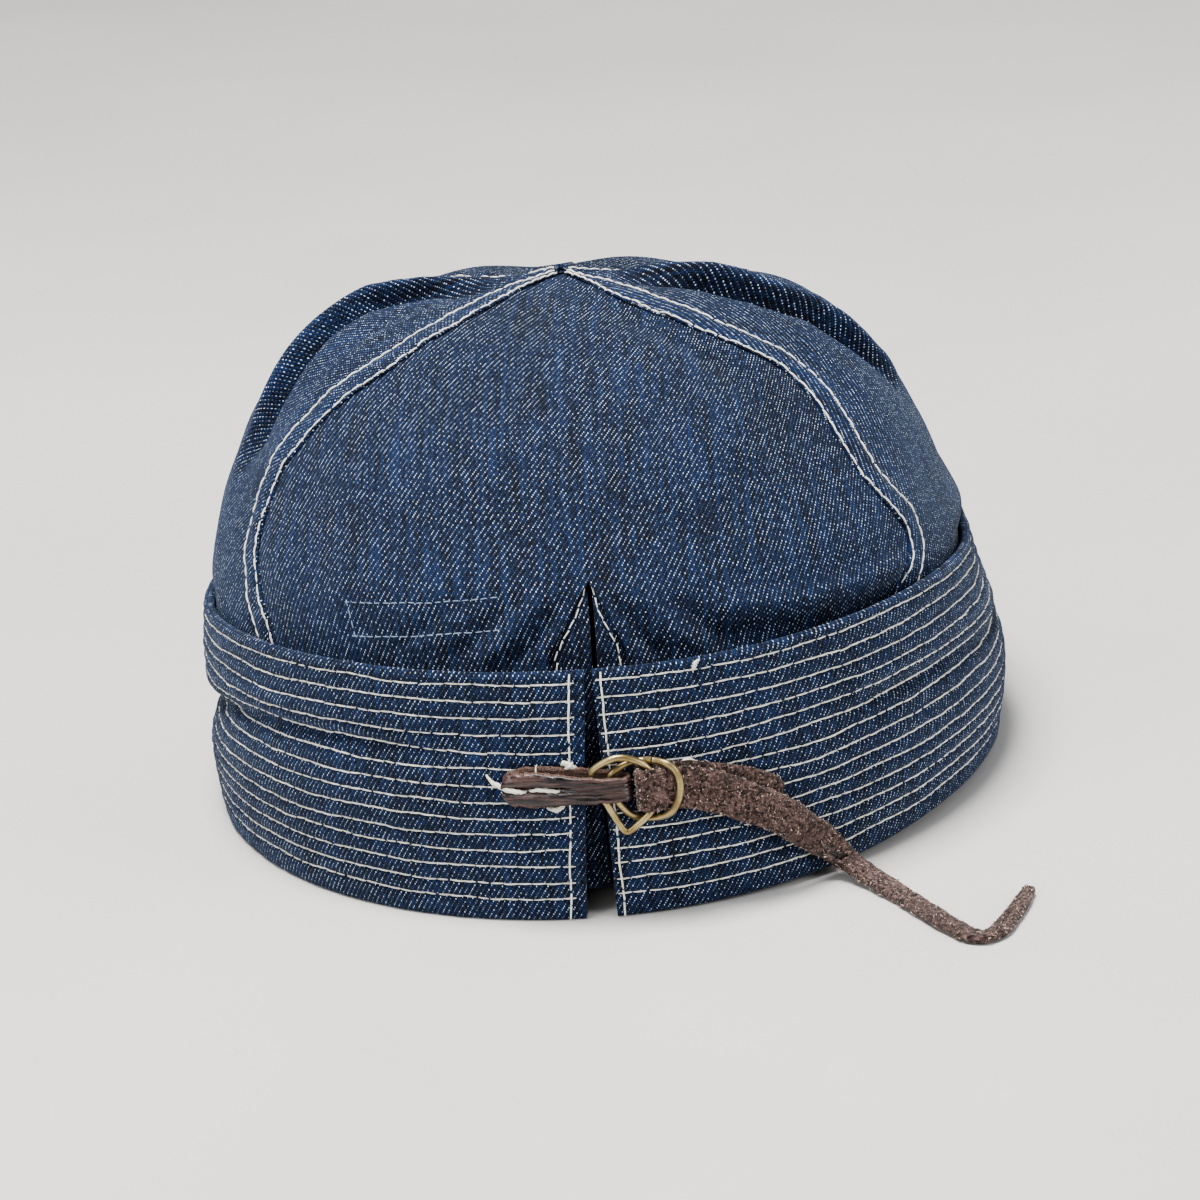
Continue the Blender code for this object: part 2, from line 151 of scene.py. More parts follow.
# The crown's cloth: indigo warp-faced twill denim, about 13 ounces, paler where it folds outwards, partly
# worn fading and partly painted highlight, and darker in the folds' valleys as painted shade. Four panels are
# cut as gores and felled together. Sizes are millimetres, psi is degrees round from the vent, and a share is
# the way up from the rim to the apex.
CROWN_A, CROWN_B, CROWN_H, POWER = 89.5, 103.0, 113.0, 2.6
BAND_A, BAND_B, BAND_HIGH, BAND_WALL = 91.5, 105.0, 55, 2.4
MEAN_RADIUS, PANEL_THICK, INSIDE_ROWS = 96, 0.95, 13
FLAT_RADIUS, FLAT_RISE = 95, 152
# Each seam: share, psi.
SEAMS = {
    "left_back": [(0.0, -50), (0.22, -53.8), (0.275, -58.8), (0.34, -62.2), (0.41, -64.2), (0.49, -64),
                  (0.57, -61.3), (0.64, -58), (0.71, -53.8), (0.81, -49.2), (0.93, -47.5), (1.0, -45)],
    "right_back": [(0.0, 50), (0.22, 52.8), (0.28, 59.5), (0.32, 59.5), (0.365, 57), (0.417, 56),
                   (0.467, 56.8), (0.527, 58), (0.584, 59), (0.632, 58), (0.697, 53.8), (0.777, 48),
                   (0.877, 44), (1.0, 43.8)],
    "left_front": [(0.0, -127), (1.0, -130)],
    "right_front": [(0.0, 127), (1.0, 126)],
}
LAP, TWIN = 3.5, 2.75
# Each fold: how far it stands out, half its width, and its line as share, psi.
FOLDS = [
    (-2.6, 5.0, [(0.48, -79), (0.56, -82), (0.62, -86), (0.67, -90), (0.75, -94), (0.85, -92), (0.93, -80)]),
    (-2.6, 4.5, [(0.50, 89), (0.57, 88), (0.69, 86), (0.79, 84), (0.87, 81), (0.94, 80)]),
    (-1.3, 4.5, [(0.66, 42), (0.73, 38.5), (0.78, 34.5), (0.86, 30)]),
    (0.7, 4.0, [(0.74, 2), (0.85, 1), (0.97, -4)]),
]
RIDGE_RISE, RIDGE_AWAY, RIDGE_HALF, RIDGE_LEAN = 3.9, 5.5, 3.6, 4.4
PUCKERS = [
    (-1.7, 2.1, [(0.25, 12.2), (0.275, 9), (0.335, 5.8)]),
    (-1.7, 2.3, [(0.262, -9.6), (0.285, -6.4), (0.33, -2.4)]),
    (1.0, 2.2, [(0.26, 16), (0.29, 12.5), (0.34, 9)]),
    (1.0, 2.2, [(0.262, -13.4), (0.29, -9.8), (0.34, -5.4)]),
    (-1.3, 2.4, [(0.262, 21), (0.285, 18), (0.325, 14)]),
    (-1.1, 2.6, [(0.265, -18), (0.295, -14), (0.34, -9.5)]),
    (-0.8, 2.6, [(0.27, -27), (0.29, -24), (0.33, -19)]),
    (-0.7, 3.0, [(0.33, 24), (0.38, 21), (0.45, 17)]),
]
# The same, for folds that run level: their lines are psi, share.
LEVEL_PUCKERS = [(-2.2, 2.6, [(20, 0.272), (31.5, 0.25), (42, 0.243), (57, 0.238)]),
                 (1.7, 3.0, [(20, 0.30), (31.5, 0.283), (42, 0.276), (57, 0.272)])]
# How full the sides are: share, left, right. How much lower the brow side is: share, drop.
PUFF = [(0.0, 1.0, 0.5), (0.2, 2.4, 0.6), (0.3, 2.6, -1.4), (0.4, 2.8, -0.4), (0.5, 2.9, 1.0),
        (0.6, 3.2, 1.0), (0.75, 2.6, 0.2), (0.85, 1.0, -0.6), (0.95, 0.2, 0.0), (1.0, 0.3, 0.3)]
DROP = [(0.0, 0), (0.45, 0), (0.6, 0.9), (0.7, 2.4), (0.8, 4.2), (0.88, 4.6), (0.94, 3.6), (0.975, 1.8),
        (1.0, 0)]
# The band that holds the crown: psi, then the columns named below.
BAND = [(-180, 47, 0, 0, 0.5, 0.8), (-130, 46, 0, 0, 0.45, 0.6), (-110, 46, 0, 1.2, 0.45, 0.6),
        (-90, 46.5, 0, 3.2, 0.47, 0.8), (-75, 49, 0, 2.4, 0.56, 0.4), (-61, 52, 0, 1.6, 0.65, 0.2),
        (-37, 54.4, 0, 1.1, 0.69, 0), (-15, 55, 0, 0.5, 0.70, 0), (0, 55, 0, 0, 0.68, 0),
        (15, 54.6, 0.4, 0, 0.67, 0), (37, 54.4, 1.5, 0.9, 0.66, 0.3), (57, 53.5, 2.4, 1.5, 0.62, 1.6),
        (69, 51.5, 2.2, 1.2, 0.6, 3.2), (90, 46.5, 1.2, 0.4, 0.55, 5.2), (110, 46, 0.4, 0, 0.5, 3.0),
        (130, 46, 0, 0, 0.5, 1.2), (180, 47, 0, 0, 0.5, 0.8)]
TOP, LIFT, DENT, DENT_AT, LEAN = range(1, 6)
PATCH = [(-36.5, 0.318), (-12.0, 0.343), (-11.8, 0.300), (-35.0, 0.275)]
VENT_PSI, VENT_TIP, VENT_FOOT, VENT_SPREAD = 2.3, 69.6, 56.2, (-6.8, 4.2)
YARN_ACROSS, YARN_ALONG, TWILL = 0.00031, 0.00046, 4.0


def column(table, at, index):
    """One column of a table, read between its rows."""
    rows = np.array(table, float)
    return np.interp(at, rows[:, 0], rows[:, index])


def ease(low, high, value):
    share = np.clip((value - low) / (high - low), 0, 1)
    return share * share * (3 - 2 * share)


def span(low, high, until, past, value):
    """0 below low, 1 between high and until, 0 beyond past, with smooth steps between them."""
    return ease(low, high, value) * (1 - ease(until, past, value))


def bell(off, half):
    return np.exp(-(off / half) ** 2)


def wrapped(psi):
    """The same place round the cap, between -180 and 180 degrees."""
    return (psi + 180) % 360 - 180


def rough(u, v, seed):
    """Smooth noise between -1 and 1 with cells of size 1."""
    def corner(i, j):
        value = np.sin(i * 127.1 + j * 311.7 + seed * 74.7) * 43758.5453
        return (value - np.floor(value)) * 2 - 1
    i, j = np.floor(u), np.floor(v)
    a, b = u - i, v - j
    a, b = a * a * (3 - 2 * a), b * b * (3 - 2 * b)
    low = corner(i, j) * (1 - a) + corner(i + 1, j) * a
    return low * (1 - b) + (corner(i, j + 1) * (1 - a) + corner(i + 1, j + 1) * a) * b


def band_smooth(psi, index):
    return sum(column(BAND, wrapped(psi + d), index) for d in (-6, -3, 0, 3, 6)) / 5


def band_inset(psi, height):
    """How far the band's face lies inside its widest outline."""
    top, lift, dent_at = (band_smooth(psi, index) for index in (TOP, LIFT, DENT_AT))
    share = np.clip((height - lift) / (top - lift), 0, 1)
    past = share - dent_at
    dent = band_smooth(psi, DENT) * bell(past, 0.13)
    creased = span(-96, -70, -45, -12, psi) + 0.7 * span(30, 48, 80, 100, psi)
    dent = dent + creased * (1.5 * bell(past, 0.035) - 1.1 * bell(past - 0.10, 0.07))
    lower = 1.2 * span(25, 60, 90, 120, psi) * (1 - ease(0, 0.3, share))
    belly = 1.5 * (1 - (2 * share - 0.95) ** 2)
    return dent - belly + band_smooth(psi, LEAN) * ease(0.35, 1.0, share) + lower + 1.5


def around(psi, wide, long, height):
    turned = np.radians(psi)
    return np.stack([wide * np.sin(turned), -long * np.cos(turned), height + 0 * turned], -1)


def height_at(share):
    return CROWN_H * np.sin(share * math.pi / 2) ** (2 / POWER)


def share_of(height):
    return np.arcsin((height / CROWN_H) ** (POWER / 2)) * 2 / math.pi


def girth_at(share):
    """The crown's girth, as a share of its girth at the rim."""
    return np.maximum(np.cos(share * math.pi / 2), 1e-6) ** (2 / POWER)


def off_line(psi, share, rows):
    """How far round the crown a place is from the line of a fold."""
    return np.radians(psi - column(rows, share, 1)) * girth_at(share) * MEAN_RADIUS


def great_folds(psi, share):
    """The two long folds beside the seams: how far the cloth rises, and how many degrees it leans over."""
    rise = lean = 0
    for way, (_, _, rows), more in ((1, FOLDS[0], 0), (-1, FOLDS[1], 1.6)):
        start, end = rows[0][0], rows[-1][0]
        along = span(start - 0.1, start + 0.1, end - 0.12, end + 0.02, share)
        across = off_line(psi, share, rows) * way
        ridge = bell(across + RIDGE_AWAY, RIDGE_HALF) * along
        rise = rise + (RIDGE_RISE + more * ease(0.7, 0.85, share)) * ridge - 1.3 * bell(across, 3.0) * along
        lean = lean + way * np.degrees(RIDGE_LEAN * ridge / (girth_at(share) * MEAN_RADIUS))
    return rise, lean


def fold_depth(psi, share):
    """How far the cloth stands out from the plain dome."""
    aside = abs(psi)
    puff = np.where(psi < 0, column(PUFF, share, 1), column(PUFF, share, 2))
    total = puff * ease(52, 84, aside) * (1 - 0.75 * ease(125, 175, aside))
    total = total + 2.0 * (1 - ease(48, 80, aside)) * bell(share - 0.33, 0.07)
    total -= column(DROP, share, 1) * ease(95, 130, aside)
    total += great_folds(psi, share)[0]
    for folds, (before, after, until, past) in ((FOLDS, (0.12, 0.06, 0.05, 0.06)),
                                                (PUCKERS, (0.02, 0.01, 0.03, 0.02))):
        for depth, half, rows in folds:
            start, end = rows[0][0], rows[-1][0]
            along = span(start - before, start + after, end - until, end + past, share)
            total += depth * bell(off_line(psi, share, rows), half) * along
    for depth, half, rows in LEVEL_PUCKERS:
        total += depth * bell((share - column(rows, psi, 1)) * 170, half) * span(16, 24, 50, 60, psi)
    ripple = 0.8 * np.sin(np.radians(psi * 7 + 40)) * span(0.3, 0.5, 0.8, 1.0, share)
    total += ripple * ease(66, 74, aside)
    flat = psi * girth_at(share) / 8
    lumps = 0.45 * rough(flat, share * 9, 3) + 0.22 * rough(flat * 2.3, share * 17, 8)
    return total + lumps * ease(0.25, 0.32, share)


def crown(psi, share, lift=0.0):
    """Points of the crown's outer face, lifted along its normal."""
    height, girth = height_at(share), girth_at(share)
    level, out = (height / CROWN_H) ** (POWER - 1) / CROWN_H, girth ** (POWER - 1) / CROWN_A
    size = np.hypot(level, out)
    push = fold_depth(psi, share) + lift
    top = band_smooth(psi, TOP)
    free = ease(top + 1.2, top + 7.5, height)
    inset = band_inset(psi, np.minimum(height, top - 0.5))
    held = inset + BAND_WALL + 0.3 + 1.5 * (1 - ease(0.72, 0.9, height / top)) - lift
    wide, long = (half * girth + push * out / size for half in (CROWN_A, CROWN_B))
    wide = wide * free + np.minimum(BAND_A - held, wide) * (1 - free)
    long = long * free + np.minimum(BAND_B - held, long) * (1 - free)
    points = around(psi + great_folds(psi, share)[1], wide, long, height + push * level / size)
    points[..., 0] -= 2.0 * np.maximum(0.0, (height - top) / (CROWN_H - top)) ** 1.2
    return points


def seam_line(seam, share):
    return sum(column(SEAMS[seam], share + d, 1) for d in (-0.02, -0.01, 0, 0.01, 0.02)) / 5


def seam_scale(seam, share):
    """Millimetres across the seam for each degree of psi."""
    psi, step = seam_line(seam, share), 0.004
    turned = np.radians(psi)
    radius = girth_at(share) * np.hypot(CROWN_A * np.cos(turned), CROWN_B * np.sin(turned))
    slope = (seam_line(seam, share + step) - seam_line(seam, share - step)) / (2 * step)
    rise = crown(psi, np.clip(share + step, 0, 0.999)) - crown(psi, np.clip(share - step, 0.01, 0.99))
    rise = np.maximum(np.linalg.norm(rise, axis=-1) / (2 * step), 20)
    return np.radians(1) * radius / np.sqrt(1 + (np.radians(slope) * radius / rise) ** 2)


def narrow(share):
    """How wide the felled seam still is: it closes up towards the apex."""
    return 0.12 + 0.88 * (1 - ease(0.90, 1.0, share))


def lap_lift(seam, psi, share):
    """How far the lap of a felled seam lifts the cloth, with the pull of its rows and its puckers."""
    across = (psi - seam_line(seam, share)) * seam_scale(seam, share)
    if seam in ("left_back", "right_front"):
        across = -across
    width = narrow(share) * LAP
    welt = span(-width - 0.05, -width + 0.25, width, width + 1.5, across)
    along = share * 150
    pull = -0.22 * bell(abs(across) - TWIN, 0.8) * (1 + 0.6 * rough(along / 1.6, across * 0 + 3, 5))
    wave = 0.28 * rough(along / 4.5, across / 3.0, 11) * bell(across, 6.5)
    return (0.75 * welt + pull + wave) * ease(0.1, 0.25, share)


def patch_lift(psi, share):
    """The place left of the vent that is sewn round: a small rectangle pulled slightly inwards."""
    low, high = np.interp(psi, (-35.5, -11.8), (0.275, 0.300)), np.interp(psi, (-36.5, -12), (0.318, 0.343))
    inside = span(-37.5, -36, -12.5, -11, psi) * ease(-0.004, 0.001, share - low)
    # Through the panels' wear-and-shade value, this inward pull also draws the rectangle a little darker, as
    # painted shade where the cloth sinks in.
    return -0.3 * inside * (1 - ease(-0.001, 0.004, share - high))


def vent_edge(side, height):
    """Where the V's left edge (side 0) or right edge (side 1) is, in degrees."""
    spread = np.clip((VENT_TIP - height) / (VENT_TIP - VENT_FOOT), 0, 1)
    return VENT_PSI + VENT_SPREAD[side] * spread ** 0.85


def panel_shares(rows, psi):
    """Shares for a panel's rows: a few behind the band, and the others from its top up to the apex."""
    held = share_of(band_smooth(psi, TOP) + 1.0)
    inside = np.linspace(0.05, 1, INSIDE_ROWS + 1)[:-1, None] * held[:INSIDE_ROWS]
    outside = np.linspace(0, 1, rows)[:, None] ** 0.96
    return np.concatenate([inside, held[INSIDE_ROWS:] + (0.9995 - held[INSIDE_ROWS:]) * outside])


def edge_shares(rows, psi):
    return panel_shares(rows, np.full((rows + INSIDE_ROWS, 1), float(psi)))[:, 0]


def panel_grid(left, right, columns, rows, lapped, wrap=0.0, half=None):
    """One panel between two seams, or its half on one side of the vent: its points, cloth, and wear with
    painted shade.
    """
    centre = (seam_line(left, 0.4) + seam_line(right, 0.4) + wrap) / 2
    edges = []
    for side, seam in ((0, left), (1, right)):
        shares = edge_shares(rows, seam_line(seam, 0.3))
        reach = LAP * narrow(shares) if lapped else -0.05
        edge = seam_line(seam, shares) + wrap * side
        edges.append(edge + (2 * side - 1) * reach / np.maximum(seam_scale(seam, shares), 0.02))
    if half is not None:
        edges[1 - half] = vent_edge(half, height_at(edge_shares(rows, VENT_PSI)))
    t = np.linspace(0, 1, columns + 1)
    t = t - 0.10 * np.sin(t * 4 * math.pi) / (2 * math.pi)
    plain = edges[0][:, None] + (edges[1] - edges[0])[:, None] * t[None]
    psi = wrapped(plain)
    shares = panel_shares(rows, psi)
    lift = lap_lift(left, psi, shares) + lap_lift(right, psi, shares) if lapped else 0 * psi - 0.15
    if half is not None:
        lift = lift + patch_lift(psi, shares)
    round_way = np.radians(plain - centre) * girth_at(shares) * FLAT_RADIUS
    flat = np.stack([round_way, shares * FLAT_RISE + 0 * psi], -1)
    # Wear and painted shade: paler on outward folds and seam welts as worn fading, darker in fold valleys and
    # stitch dips as painted shade.
    wear_and_shade = np.clip(fold_depth(psi, shares) * 0.08, -0.3, 0.4) + np.clip(lift, -0.5, 1) * 0.25
    return crown(psi, shares, lift), flat, wear_and_shade


def mesh_object(name, points, faces, uv=None, wear_and_shade=None, materials=(), ends=()):
    """A piece from points in millimetres, quads and, at its two ends, larger faces."""
    mesh = bpy.data.meshes.new(name)
    mesh.vertices.add(len(points))
    mesh.vertices.foreach_set("co", (points / 1000 + SHIFT).astype(np.float32).ravel())
    sizes = [len(face) for face in (*faces, *ends)]
    corners = np.concatenate([faces.ravel(), *ends]).astype(np.int32)
    mesh.loops.add(len(corners))
    mesh.loops.foreach_set("vertex_index", corners)
    mesh.polygons.add(len(sizes))
    mesh.polygons.foreach_set("loop_start", np.concatenate([[0], np.cumsum(sizes)[:-1]]).astype(np.int32))
    mesh.update(calc_edges=True)
    mesh.polygons.foreach_set("use_smooth", np.arange(len(sizes)) < len(faces))
    if uv is not None:
        layer = mesh.uv_layers.new(name="flat")
        layer.data.foreach_set("uv", (uv / 1000).astype(np.float32)[corners].ravel())
    if wear_and_shade is not None:
        mesh.attributes.new("wear_and_shade", "FLOAT", "POINT").data.foreach_set("value", wear_and_shade.astype(np.float32))
    for made in materials:
        mesh.materials.append(made)
    return placed(name, mesh)


def cloth(name, grids, thick, materials):
    """A closed skin from grids of (points, cloth, wear and painted shade); grids that share a line become one
    cloth.
    """
    points = np.concatenate([grid[0].reshape(-1, 3) for grid in grids])
    flat = np.concatenate([grid[1].reshape(-1, 2) for grid in grids])
    wear_and_shade = np.concatenate([grid[2].ravel() for grid in grids])
    _, first, same = np.unique(np.round(points, 4), axis=0, return_index=True, return_inverse=True)
    same, start, quads = same.ravel(), 0, []
    for grid in grids:
        rows, columns = grid[0].shape[:2]
        index = same[start:start + rows * columns].reshape(rows, columns)
        corners = (index[:-1, :-1], index[:-1, 1:], index[1:, 1:], index[1:, :-1])
        quads.append(np.stack(corners, -1).reshape(-1, 4))
        start += rows * columns
    quads = np.concatenate(quads)
    points, flat, wear_and_shade = points[first], flat[first], wear_and_shade[first]
    normal = np.zeros_like(points)
    across = np.cross(points[quads[:, 2]] - points[quads[:, 0]], points[quads[:, 3]] - points[quads[:, 1]])
    for k in range(4):
        np.add.at(normal, quads[:, k], across)
    normal /= np.maximum(np.linalg.norm(normal, axis=1, keepdims=True), 1e-12)
    count = len(points)
    edges = np.concatenate([quads[:, [k, (k + 1) % 4]] for k in range(4)])
    rim = edges[~np.isin(edges[:, 1] * count + edges[:, 0], edges[:, 0] * count + edges[:, 1])]
    walls = np.stack([rim[:, 1], rim[:, 0], rim[:, 0] + count, rim[:, 1] + count], -1)
    faces = np.concatenate([quads, quads[:, ::-1] + count, walls])
    points = np.concatenate([points, points - normal * thick])
    obj = mesh_object(name, points, faces, np.concatenate([flat] * 2), np.concatenate([wear_and_shade] * 2), materials)
    which = np.zeros(len(faces), np.int32)
    which[len(quads):len(quads) * 2] = len(materials) - 1
    obj.data.polygons.foreach_set("material_index", which)
    return obj


def wears(obj, node=None):
    """The piece goes with the cap's one body and, when a CAD node is given, stands for that node, which is
    hidden.
    """
    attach(obj, "root")
    if node:
        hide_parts(node)


def calc(tree, operation, *values):
    return add(tree, "ShaderNodeMath", *values, operation=operation)


def sums(tree):
    """The sums that a pattern is made of: plus, minus and times."""
    return (partial(calc, tree, operation) for operation in ("ADD", "SUBTRACT", "MULTIPLY"))


def clamped(value):
    """The same sum, kept between 0 and 1."""
    value.node.use_clamp = True
    return value


def ramp(tree, value, low, high):
    """0 at low, 1 at high, smooth between."""
    return add(tree, "ShaderNodeMapRange", value, low, high, interpolation_type="SMOOTHSTEP")


def flat_place(tree):
    """The place on the cloth or leather laid flat, in metres."""
    return add(tree, "ShaderNodeUVMap", uv_map="flat")


def wear_and_shade_on(tree):
    return add(tree, "ShaderNodeAttribute", attribute_name="wear_and_shade").node.outputs["Fac"]


def stretched(tree, place, across, along):
    return add(tree, "ShaderNodeMapping", place, None, None, (across, along, 1.0))


def bumped(tree, strength, depth, height):
    return add(tree, "ShaderNodeBump", strength, depth, None, height)


def denim(name, weft_colour, face=True):
    """Warp-faced twill from its flat coordinates: dark warp yarns, pale weft showing in steep diagonals."""
    made, tree, shader = new_material(name)
    plus, minus, times = sums(tree)
    uv, wear_and_shade = flat_place(tree), wear_and_shade_on(tree)
    across, along = add(tree, "ShaderNodeSeparateXYZ", uv).node.outputs[:2]
    sway = times(minus(noise(tree, uv, 260.0, 2.0), 0.5), 1.5)
    i = plus(calc(tree, "DIVIDE", across, YARN_ACROSS), sway)
    j = plus(calc(tree, "DIVIDE", along, YARN_ALONG), sway)
    cell_i, cell_j = calc(tree, "FLOOR", i), calc(tree, "FLOOR", j)
    weft = calc(tree, "LESS_THAN", calc(tree, "FLOORED_MODULO", minus(cell_i, cell_j), TWILL), 0.5)
    if not face:
        weft = minus(1.0, weft)
    cell = add(tree, "ShaderNodeCombineXYZ", cell_i, cell_j)
    chance = add(tree, "ShaderNodeTexWhiteNoise", cell, noise_dimensions="2D")
    yarn, weft_yarn = (add(tree, "ShaderNodeTexWhiteNoise", None, number, noise_dimensions="1D")
                       for number in (cell_i, cell_j))
    hump_i, hump_j = (calc(tree, "SINE", times(calc(tree, "FRACT", place), math.pi)) for place in (i, j))
    dot = ramp(tree, times(hump_i, hump_j), 0.26, 0.82)
    streak = noise(tree, stretched(tree, uv, 900.0, 42.0), 1.0, 3.0)
    fade, lint = noise(tree, uv, 42.0, 4.0), noise(tree, uv, 2100.0, 2.0)
    light = plus(times(ramp(tree, streak, 0.35, 0.72), 0.55), times(yarn, 0.25))
    light = plus(light, times(minus(fade, 0.45), 0.7))
    # The wear-and-shade value lightens the warp and the weft specks on ridges as fading and darkens them in
    # valleys as painted shade.
    light = clamped(plus(light, times(wear_and_shade, 0.55)))
    light = plus(light, times(ramp(tree, lint, 0.5, 0.72), 0.55))
    light = clamped(plus(light, times(minus(chance, 0.62), 0.75)))
    warp = mixed(tree, light, (0.0006, 0.0015, 0.0062), (0.0088, 0.027, 0.092))
    rib = calc(tree, "COSINE", times(minus(i, j), math.pi / 2))
    warp = mixed(tree, times(ramp(tree, rib, -1.0, 1.0), 0.28), warp, (0.003, 0.008, 0.022))
    bright = times(calc(tree, "POWER", chance, 2.5), dot)
    bright = times(bright, plus(0.75, times(weft_yarn, 0.9)))
    bright = plus(bright, times(times(dot, 0.10), plus(0.6, wear_and_shade)))
    speck = clamped(times(bright, weft))
    ridge = plus(plus(times(hump_i, 0.5), times(rib, -0.45)), times(noise(tree, uv, 2600.0, 3.0), 0.8))
    dress(tree, shader, {
        "Base Color": mixed(tree, speck, warp, weft_colour), "Normal": bumped(tree, 0.75, 0.00011, ridge),
        "Roughness": 0.88, "Sheen Weight": 0.08, "Sheen Roughness": 0.45, "Specular IOR Level": 0.25,
        "Sheen Tint": (0.42, 0.58, 0.9, 1)})
    return made


DENIM = denim("denim", (0.76, 0.87, 1.0))
DENIM_BACK = denim("denim_inside", (0.62, 0.66, 0.72), face=False)


def crown_panel(place, grids):
    wears(cloth("crown_" + place, grids, PANEL_THICK, (DENIM, DENIM_BACK)), "crown_panel_" + place)


crown_panel("left", [panel_grid("left_front", "left_back", 150, 190, True)])
crown_panel("right", [panel_grid("right_back", "right_front", 150, 190, True)])
crown_panel("front", [panel_grid("right_front", "left_front", 130, 170, False, 360.0)])
crown_panel("back", [panel_grid("left_back", "right_back", 80, 200, False, half=side) for side in (0, 1)])

# The vent's facings: the panel's slit edges folded in and sewn down, so each side of the V shows a second
# layer of the same denim a little deeper. The dark slit between them runs down behind the band's ends.
FACING_DEPTH, FACING_REACH, FACING_THICK = 1.05, 0.9, 0.9
SLIT_PSI, SLIT_HALF = 1.75, 0.32


def facing(side):
    """One folded edge of the slit, from behind the band to just under the V's tip."""
    way = 2 * side - 1
    low, high = np.linspace(5, VENT_FOOT, 30), np.linspace(VENT_FOOT, VENT_TIP - 1.2, 26)
    heights = np.concatenate([low, high[1:]])[:, None]
    slit = SLIT_PSI + 0.5 * ease(45, VENT_TIP, heights) + way * SLIT_HALF
    outer = vent_edge(side, heights) + way * FACING_REACH
    start, end = (slit, outer) if side else (outer, slit)
    psi = start + (end - start) * np.linspace(0, 1, 25)[None]
    lift = 0.12 * rough(psi * 1.2, heights / 3, 4) - FACING_DEPTH - 0.35 * bell(psi - slit, 0.5)
    flat = np.stack([psi * 1.65, heights + 0 * psi], -1)
    # The facings, set deeper in the V, are drawn evenly darker.
    return crown(psi, share_of(heights) + 0 * psi, lift), flat, 0 * psi - 0.25


for side, word in ((0, "left"), (1, "right")):
    wears(cloth("facing_" + word, [facing(side)], FACING_THICK, (DENIM, DENIM_BACK)), "vent_facing_" + word)

# The band: a strip of the same denim, turned up and folded double, quilted flat by fourteen rows of pale
# lockstitch about 3.7 mm apart, so the cloth stands in small ridges between the rows. It is open at the back.
FIRST_ROW, PITCH, ROWS = 2.4, 3.66, 14
# Where the band starts and ends: psi at its foot, and how far that moves up to its top.
BAND_ENDS = ((2.0, -0.5), (-2.2, 2.7))
turns = np.linspace(-180, 180, 1441)
steps = np.linalg.norm(np.diff(around(turns, BAND_A, BAND_B, 0), axis=0), axis=1)
lengths = np.concatenate([[0], np.cumsum(steps)])


def band_length(psi):
    return np.interp(wrapped(psi), turns, lengths)


def band_end(which, level):
    start, tilt = BAND_ENDS[which]
    return 360 * which + start + tilt * level


def row_wave(u, row):
    return 0.10 * rough(u / 15, row * 0.8, 21) + 0.05 * rough(u / 5, row * 1.3, 22)


def quilting(psi, level):
    """How far the cloth stands out between the rows, and its wear and painted shade: darker by the rows,
    lighter on the ridges.
    """
    u = band_length(psi)
    row = ((1 - level) * BAND_HIGH - FIRST_ROW) / PITCH
    row = row - row_wave(u, row)
    part = np.abs(np.sin(math.pi * np.clip(row, -0.5, ROWS - 0.5)))
    pillow = part ** 0.55
    near = 1 - ease(0.0, 0.55, part)
    pull = 0.13 * rough(u / 1.5 + np.round(row) * 0.4, np.round(row) * 1.7, 33) * near
    fold = 0.16 * rough(u / 3.2 + row * 0.5, row / 1.1, 35) + 0.10 * rough(u / 9, row / 2.5, 36)
    return 0.78 * pillow - 0.58 + pull + fold * (0.4 + 0.6 * part), (pillow - 0.62) * 0.42


def band_surface(psi, level, off=0.0, quilt=True):
    """Points of the band's face, at a level between its foot and its top."""
    top, lift = band_smooth(psi, TOP), band_smooth(psi, LIFT)
    height = lift + (top - lift) * level
    inset = band_inset(psi, height) - off - (quilting(psi, level)[0] if quilt else 0)
    return around(psi, BAND_A - inset, BAND_B - inset, height)


def band_piece():
    """The band from its profile of (level, how far out, how much of the quilting)."""
    profile = [(0.0, -1.2, 0.05), (0.0, -0.65, 0.0), (0.004, -0.25, 0.2)]
    profile += [(level, 0, 1.0) for level in np.linspace(0.018, 0.978, 156)]
    profile += [(0.989, -0.25, 0.8), (0.997, -0.7, 0.4), (1.0, -1.2, 0.2)]
    profile += [(0.997, -1.75, 0), (0.985, -2.2, 0)]
    profile += [(level, -BAND_WALL, 0) for level in np.linspace(0.96, 0.06, 16)]
    profile += [(0.026, -2.45, 0), (0.024, -3.9, 0), (0.0, -3.9, 0)]
    level, off, quilt = (np.array(values)[:, None] for values in zip(*profile))
    start, end = band_end(0, level), band_end(1, level)
    psi = wrapped(start + (end - start) * np.linspace(0, 1, 431)[None])
    stand, worn_and_shaded = quilting(psi, level)
    points = band_surface(psi, level, off + stand * quilt, False)
    flat = np.stack([band_length(psi), level * BAND_HIGH + 0 * psi], -1)
    rows, columns = points.shape[:2]
    index = np.arange(rows * columns).reshape(rows, columns)
    above = np.roll(index, -1, axis=0)
    quads = np.stack([index[:, :-1], index[:, 1:], above[:, 1:], above[:, :-1]], -1).reshape(-1, 4)
    # Painted shade in the sunken lines by the rows, and lighter ridges between them, partly worn fading and
    # partly painted highlight.
    wear_and_shade = worn_and_shaded * quilt + (1 - quilt) * 0.1
    ends = (index[::-1, 0], index[:, -1])
    return mesh_object("band_cloth", points.reshape(-1, 3), quads, flat.reshape(-1, 2), wear_and_shade.ravel(),
                       (DENIM,), ends)


wears(band_piece(), "band")

# The stitching: off-white cotton thread about half a millimetre thick. A node tool lays one bent stitch at
# every step along a line and turns it to the cloth, so each row is real thread that dips at its holes.


